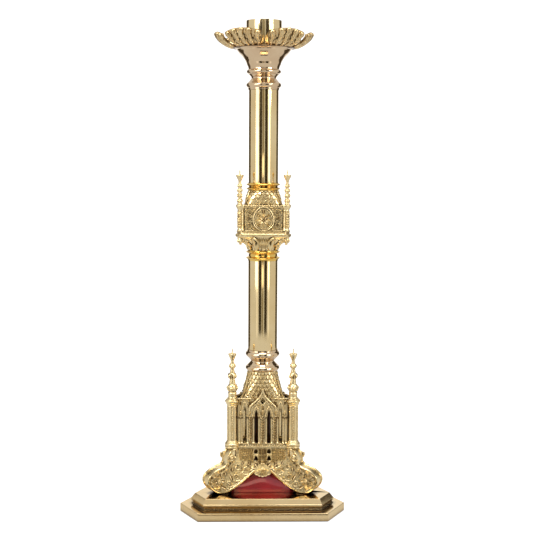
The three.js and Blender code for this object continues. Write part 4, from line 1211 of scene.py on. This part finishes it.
def pendant():
    """The leafy drop under each corner turret."""
    low = BELL_LOW + 13
    profile = filleted([
        (0.05, low), (2.2, low + 0.6), (3.6, low + 3), (2.6, low + 5), (6.6, low + 9), (7.4, low + 13),
        (6.4, low + 16), (8.2, low + 18.6), (8.2, low + 21), (0.05, low + 21)], 1.2, 4)
    drop = combine(revolve(profile, 36), leafy_knob(low + 11, 8.6, 30))
    return moved(drop, y=-TURRET_REACH - 2)


def ogive_medallion(half, low, high, count=9):
    """A frame that is round below and pointed above."""
    middle = low + half * 1.02
    loop = [(half * math.cos(a), middle + half * math.sin(a)) for a in np.linspace(-math.pi, 0, 2 * count)]
    rise = high - middle
    right = [(half * math.cos(a) ** 0.9, middle + rise * math.sin(a) ** 1.25)
             for a in np.linspace(0, math.pi / 2, count)[1:]]
    left = [(-x, z) for x, z in reversed(right[:-1])]
    return loop + right + left


def knop_flower(centre):
    """The flower in the middle of a knop wall, with four small ones between its petals."""
    small = [rosette(x, centre + dz, 3.8, 5, 3.4) for x in (-11, 11) for dz in (-11, 11)]
    return combine(
        leaves([(0, centre, 45 + 90 * k, 14, 8.6, 4.6) for k in range(4)]),
        leaves([(0, centre, 90 * k, 17, 6.4, 4.0) for k in range(4)]),
        rosette(0, centre, 5.6, 6, 5.0), *small, petal_at(0, centre + 15, 90, 12, 7, 4.0),
    )


def make_knop_panels():
    low, high, half = BELL_HIGH, KNOP_TOP, KNOP_HALF
    centre = low + 25
    field = flat_outline([(-half, low), (half, low), (half, high), (-half, high)], 4, 0.6)
    outer = ogive_medallion(23.6, low + 0.8, high - 4)
    inner = [(x * 0.84, centre + (z - centre) * 0.84) for x, z in outer]
    boss = flat_outline([(x * 0.97, centre + (z - centre) * 0.97) for x, z in outer], 3, 0.6)
    side = combine(
        scrolls([(-31.5, low + 43, 8.5, 200, -1, 1.2, 1.3, 6, 3.4),
                 (-32, low + 14, 8.5, 160, 1, 1.2, 1.3, 6, 3.4),
                 (-30.5, low + 29, 6, 90, 1, 1.1, 1.2, 5, 3.2)]),
        leaves([(-37, low + 24, 70, 10, 5.2, 3.4), (-24, low + 49, 30, 10, 5.2, 3.2),
                (-37, low + 36, -70, 9, 4.8, 3.2), (-24, low + 7, -30, 10, 5.2, 3.2),
                (-14, low + 54, 170, 10, 4.6, 3.0)]),
    )
    frames = combine(hood(outer + outer[:1], 2.6, 1.7), hood(inner + inner[:1], 2.2, 1.0),
                     moved(knop_flower(centre), z=1.2))
    bands = combine(
        hood([(-half, high - 4.2), (half, high - 4.2)], 1.2, 1.2),
        bead_row([(-half + 3, high - 1.2, 1.6), (half - 3, high - 1.2, 1.6)], 5.2, 2.2),
        hood([(-half, low + 1.2), (half, low + 1.2)], 1.0, 1.3),
    )
    relief = combine(both_sides(side), frames, bands)
    panel = moved(combine(field, moved(boss, y=-1.0), upright(relief, 0)), y=-KNOP_FRONT)
    add_round("knop_wall_", panel, GILT, SIDES, "knop_panel_")


def make_turrets():
    low, high = span("knop_turret_rear")
    r = TURRET_RADIUS
    column = revolve(filleted([
        (0.05, low), (r + 1.6, low), (r + 1.6, low + 2.5), (r + 0.6, low + 4), (r, low + 6), (r, high - 14),
        (r + 0.8, high - 13), (r + 0.4, high - 11.6), (r + 3.4, high - 6), (r + 4.4, high - 3.4),
        (r + 4.4, high), (0.05, high)], 0.8, 4), 44)
    bands = []
    for a in (-150, -120, -90, -60, -30):
        x, y = on_circle(r, a)
        bands.append(roll([(x, y, low + 7), (x, y, high - 14)], 1.1, 6))
    lobes = []
    for row in range(6):
        for a in (-135, -105, -75, -45):
            x, y = on_circle(r - 0.2, a)
            out_x, out_y = on_circle(1, a)
            lobes.append(oriented(petal(6.4, 3.8, 2.2), (x, y, low + 9 + 5.6 * row), (0, 0, 1),
                                  (-out_y, out_x, 0), (out_x, out_y, 0)))
    turret = moved(combine(column, *bands, *lobes), y=-TURRET_REACH)
    add_round("corner_turret_", turret, GILT, CORNERS, "knop_turret_")


def make_knop_roof():
    low, high = span("knop_roof")
    levels = [(low, 33.4, 45.8, 41, 0), (low + 6, 33.4, 45.8, 41, 0), (low + 20, 33.4, 44.2, 39.8, 0.35),
              (low + 31, 33.4, 40.2, 37.2, 0.75), (high, 33.2, 35.4, 35.4, 1)]
    tiles = tiled_roof(levels, 5, 24, SCALE_RELIEF, up=100)
    add_piece("knop_tiles", tiles, GILT, "stand", ["knop_roof"], sharp=60)
    add_piece("knop_hips", hip_rolls(levels, 2.2), BURNISHED, "stand", sharp=60)


# Cup, drip pan, leaves and socket -------------------------------------------------------
CUP_LOW, CUP_HIGH = span("cup_bell")
PAN_LOW, PAN_HIGH = span("drip_pan")
PAN_RADIUS = span("drip_pan", 0)[1]


def make_cup():
    outside = smooth_line([
        (35.2, CUP_LOW), (36.6, 1016.5), (38.6, 1021), (40.2, 1026), (42.4, 1030), (47.6, 1037.5),
        (55.2, 1045), (59.2, 1050)], 6).tolist()
    rim = filleted([(59.2, 1050), (60.4, 1051.6), (61, 1054), (64, 1055), (65, CUP_HIGH)], 0.9, 4)
    floor = CUP_LOW + 4
    inside = smooth_line([
        (61, CUP_HIGH), (54.5, 1049.5), (45, 1040), (39, 1031), (35.6, 1021), (33, floor)], 5).tolist()
    closed = outside + rim[1:].tolist() + inside + [(ROD_BORE, floor), (ROD_BORE, CUP_LOW)]
    add_piece("bell_cup", revolve(closed, 144, closed=True), CUP, "stand", ["cup_bell"], sharp=32)


def make_pan():
    hole = 26
    outline = filleted([
        (hole, PAN_LOW), (PAN_RADIUS - 1, PAN_LOW), (PAN_RADIUS, PAN_LOW + 1.2),
        (PAN_RADIUS - 0.6, PAN_HIGH - 0.2), (PAN_RADIUS - 4, PAN_HIGH - 0.4), (hole, PAN_HIGH),
    ], 0.5, 4, closed=True)
    add_piece("wax_pan", revolve(outline, 144, closed=True), PAN_SHADE_BRASS, "wax_pan", ["drip_pan"], sharp=32)


LEAF_LOBES = 5


def leaf_surface():
    """The middle surface of a crown leaf, as a function of t across (-1 to 1) and s along (0 to 1)."""
    rim = PAN_HIGH + 0.4
    line = smooth_line([(PAN_RADIUS - 6, rim), (PAN_RADIUS + 3, rim + 0.8), (83, 1065), (92, 1071.6),
                        (100, 1078.8), (103.5, 1084.4), (106, 1090)], 8)
    steps = np.linalg.norm(np.diff(line, axis=0), axis=1)
    length = np.concatenate([[0], np.cumsum(steps)])

    def place(t, s):
        x = t * (25 + 22 * np.sin(np.clip(s, 0, 1) * math.pi / 2))
        along = s * length[-1] * (1 - 0.22 * np.abs(t) ** 2.2)
        radius = np.interp(along, length, line[:, 0])
        z = np.interp(along, length, line[:, 1])
        return np.stack([x, -radius + 0.0030 * x ** 2, z + 0.0016 * x ** 2], axis=-1)

    return place


def leaf_lobe(place, across):
    """A thick lobe of a crown leaf, with a narrow rib between small folds over its flanks."""
    along = np.linspace(0, 1, 30)
    hand = -1 if across < 0 else 1
    path = place(across + 0.05 * hand * np.sin(2 * math.pi * along), (0.98 - 0.08 * abs(across)) * along)
    path[:, 1] -= 2.4 * np.sin(math.pi * along)
    parts = [roll(path, 2.6 + 4.4 * along ** 1.3, 14), ball(path[-1], 6.6, 16, 11, 0.7)]
    ridge = path + np.array([0, -0.6, 0.4])
    ridge[:, 1] -= 2.4 + 3.6 * along ** 1.3
    parts.append(roll(ridge[4:], 0.9 + 0.5 * along[4:], 8))
    for i in (10, 17, 24):
        for side in (-1, 1):
            fold = [path[i] + np.array([side * 1.5, -3.4, -1.5]),
                    path[i] + np.array([side * 4.6, -4.6, 1.0]),
                    path[i + 4] + np.array([side * 6.6, -3.0, 1.6])]
            parts.append(roll(fold, [1.0, 1.9, 0.7], 8))
    return combine(*parts)


def palmette():
    """One leaf of the crown: a fan of thick lobes that rises from the pan and curls out."""
    place = leaf_surface()
    middle = place(np.linspace(-0.97, 0.97, 29)[None, :], np.linspace(0, 1.0, 24)[:, None])
    thick = 2.6 * np.array([0, -0.5, 0.85])
    blade = skin(np.concatenate([middle + thick, middle[:, ::-1]], axis=1), close_columns=True, caps=True)
    lobes = [leaf_lobe(place, 2 * (k + 0.5) / LEAF_LOBES - 1) for k in range(LEAF_LOBES)]
    return combine(blade, *lobes)


def make_crown():
    leaf = palmette()
    for k in range(1, 7):
        add_piece("palmette_" + str(k), turned(leaf, 60 * k - 30), AGED, "wax_pan",
                  ["crown_leaf_" + str(k)], sharp=60)


def make_socket():
    low, high = span("candle_socket")
    outer = span("candle_socket", 0)[1]
    inner = outer - 1.8
    floor = PAN_HIGH + 3
    profile = filleted([
        (0.05, low), (22, low), (24, low + 2), (24, PAN_HIGH), (outer, PAN_HIGH), (outer, high),
        (inner, high), (inner, floor), (0.05, floor)], 0.5, 4)
    add_piece("candle_cup", revolve(profile, 144), SOCKET, "candle_holder", ["candle_socket"], sharp=32)


# Studio ---------------------------------------------------------------------------------
CAMERA_PLACE = (-0.0524, -2.3594, 0.8215)
CAMERA_AIM = (0.02554, 0.99356, -0.10939)
CAMERA_LENS = 69.4
CAMERA_ROLL = math.radians(0.3)
BAND_RADIUS = 1.7


BAND_LOW = -0.1
BAND_HIGH = 1.7
LAMPS = [("key", (-1.6, -2.2, 2.3), 48, 0.9), ("fill", (1.9, -1.8, 1.9), 36, 1.0),
         ("top", (0.0, -0.4, 3.0), 26, 1.2)]
LAMP_AIM = (0.0, 0.0, 0.6)


def studio_sheet(name, part, material, unseen_by):
    """A sheet of the studio, in metres, that the named kinds of ray pass through."""
    verts, faces = part
    mesh = bpy.data.meshes.new(name)
    mesh.from_pydata(verts.tolist(), [], faces)
    mesh.materials.append(material)
    sheet = bpy.data.objects.new(name, mesh)
    bpy.context.scene.collection.objects.link(sheet)
    sheet.visible_camera = "camera" not in unseen_by
    sheet.visible_shadow = "shadow" not in unseen_by
    sheet.visible_diffuse = "diffuse" not in unseen_by
    sheet.visible_glossy = "glossy" not in unseen_by


ONLY_MIRRORED = ("camera", "shadow", "diffuse")


def studio_band(name, start, end, low, high, material):
    """A curved reflector or flag round the object that only reflections see.

    start and end are in degrees round the column from the camera's side, counter-clockwise.
    """
    facing = math.degrees(math.atan2(CAMERA_PLACE[1], CAMERA_PLACE[0]))
    angles = np.radians(facing + np.linspace(start, end, 2 + int(abs(end - start) / 4)))
    points = np.empty((2, len(angles), 3))
    points[:, :, 0] = BAND_RADIUS * np.cos(angles)
    points[:, :, 1] = BAND_RADIUS * np.sin(angles)
    points[0, :, 2] = low
    points[1, :, 2] = high
    studio_sheet(name, skin(points), material, ONLY_MIRRORED)


def pale_surface():
    """The studio's white paper: matt, and lit a little from below like a light table."""
    pale = bpy.data.materials.new("pale_paper")
    pale.use_nodes = True
    shader = pale.node_tree.nodes["Principled BSDF"]
    shader.inputs["Base Color"].default_value = (0.5, 0.5, 0.5, 1.0)
    shader.inputs["Roughness"].default_value = 0.95
    shader.inputs["Emission Color"].default_value = (1.0, 1.0, 1.0, 1.0)
    shader.inputs["Emission Strength"].default_value = 0.62
    return pale


def make_sweep():
    """White paper: a round floor that curves up into a wall, well outside every camera place."""
    radius, top, bend = 4.6, 4.2, 0.6
    path = [(0.01, 0.0), (radius - bend, 0.0)]
    for a in np.radians(range(9, 91, 9)):
        path.append((radius - bend + bend * math.sin(a), bend - bend * math.cos(a)))
    path.append((radius, top))
    around = np.linspace(0, 2 * math.pi, 96, endpoint=False)
    points = np.array([[(r * math.cos(a), r * math.sin(a), z - 0.0002) for a in around]
                       for r, z in path])
    studio_sheet("paper_sweep", skin(points, close_columns=True), pale_surface(), ("glossy",))


def emitter(name, colour, strength):
    material = bpy.data.materials.new(name)
    material.use_nodes = True
    nodes = material.node_tree.nodes
    nodes.clear()
    glow = nodes.new("ShaderNodeEmission")
    glow.inputs["Color"].default_value = (*colour, 1.0)
    glow.inputs["Strength"].default_value = strength
    out = nodes.new("ShaderNodeOutputMaterial")
    material.node_tree.links.new(glow.outputs["Emission"], out.inputs["Surface"])
    return material


def make_floor_flag(material):
    """A dark sheet on the floor in front, which only reflections see."""
    near, far, half_near, half_far = -0.18, -0.36, 0.19, 0.24
    corners = np.array([(-half_near, near, 0), (half_near, near, 0),
                        (half_far, far, 0), (-half_far, far, 0)])
    studio_sheet("floor_flag", (corners, [(0, 1, 2, 3)]), material, ONLY_MIRRORED)


def make_lamps():
    for name, place, energy, width in LAMPS:
        light = bpy.data.lights.new(name, "AREA")
        light.energy = energy
        light.size = width
        lamp = bpy.data.objects.new(name, light)
        lamp.location = place
        lamp.rotation_euler = (Vector(place) - Vector(LAMP_AIM)).to_track_quat("Z", "Y").to_euler()
        lamp.visible_camera = False
        bpy.context.scene.collection.objects.link(lamp)


def make_studio():
    scene = bpy.context.scene
    scene.view_settings.view_transform = "Standard"
    world = bpy.data.worlds.new("studio")
    scene.world = world
    world.use_nodes = True
    background = world.node_tree.nodes["Background"]
    background.inputs["Color"].default_value = (1.0, 0.99, 0.97, 1.0)
    background.inputs["Strength"].default_value = 0.72
    make_sweep()

    white = emitter("soft_white", (1.0, 0.99, 0.97), 2.6)
    behind = emitter("paper_white", (1.0, 0.99, 0.97), 1.0)
    black = emitter("black_flag", (0.045, 0.036, 0.02), 1.0)
    olive = emitter("camera_side", (0.30, 0.27, 0.19), 1.0)
    cream = emitter("camera_side_bright", (1.9, 1.7, 1.3), 1.0)
    shade = emitter("dim_wall", (0.07, 0.055, 0.035), 1.0)
    # The wall behind the camera is brighter at the one height that the knop mirrors.
    knop_low, knop_high, foot_high = 0.45, 0.68, 0.42
    studio_band("camera_wall_low", -9, 5, BAND_LOW, knop_low, olive)
    studio_band("camera_wall_middle", -9, 5, knop_low, knop_high, cream)
    studio_band("camera_wall_high", -9, 5, knop_high, BAND_HIGH, olive)
    for hand, name, edge in ((1, "right", 52), (-1, "left", 62)):
        studio_band("flag_" + name, hand * 11, hand * 32, BAND_LOW, BAND_HIGH, black)
        studio_band("softbox_" + name, hand * 38, hand * edge, foot_high, 1.9, white)
        studio_band("softbox_foot_" + name, hand * 41, hand * 52, BAND_LOW, foot_high, behind)
        studio_band("wall_" + name, hand * 118, hand * 152, BAND_LOW, BAND_HIGH, shade)
    studio_band("paper_behind", 155, 205, 0.12, 1.5, behind)
    make_floor_flag(black)
    make_lamps()


def make_camera():
    data = bpy.data.cameras.new("photo_view")
    data.lens = CAMERA_LENS
    data.sensor_width = 36.0
    camera = bpy.data.objects.new("photo_view", data)
    camera.location = CAMERA_PLACE
    level = Vector(CAMERA_AIM).to_track_quat("-Z", "Y")
    camera.rotation_euler = (level @ Quaternion((0.0, 0.0, 1.0), CAMERA_ROLL)).to_euler()
    bpy.context.scene.collection.objects.link(camera)
    bpy.context.scene.camera = camera


make_camera()
make_studio()
make_base()
make_dome()
make_feet()
make_arches()
make_tower_deck()
make_tower_core()
make_tower_panels()
make_tower_piers()
make_pinnacles()
make_tower_roof()
make_column()
make_knop_bell()
make_knop_panels()
make_turrets()
make_knop_roof()
make_cup()
make_pan()
make_crown()
make_socket()
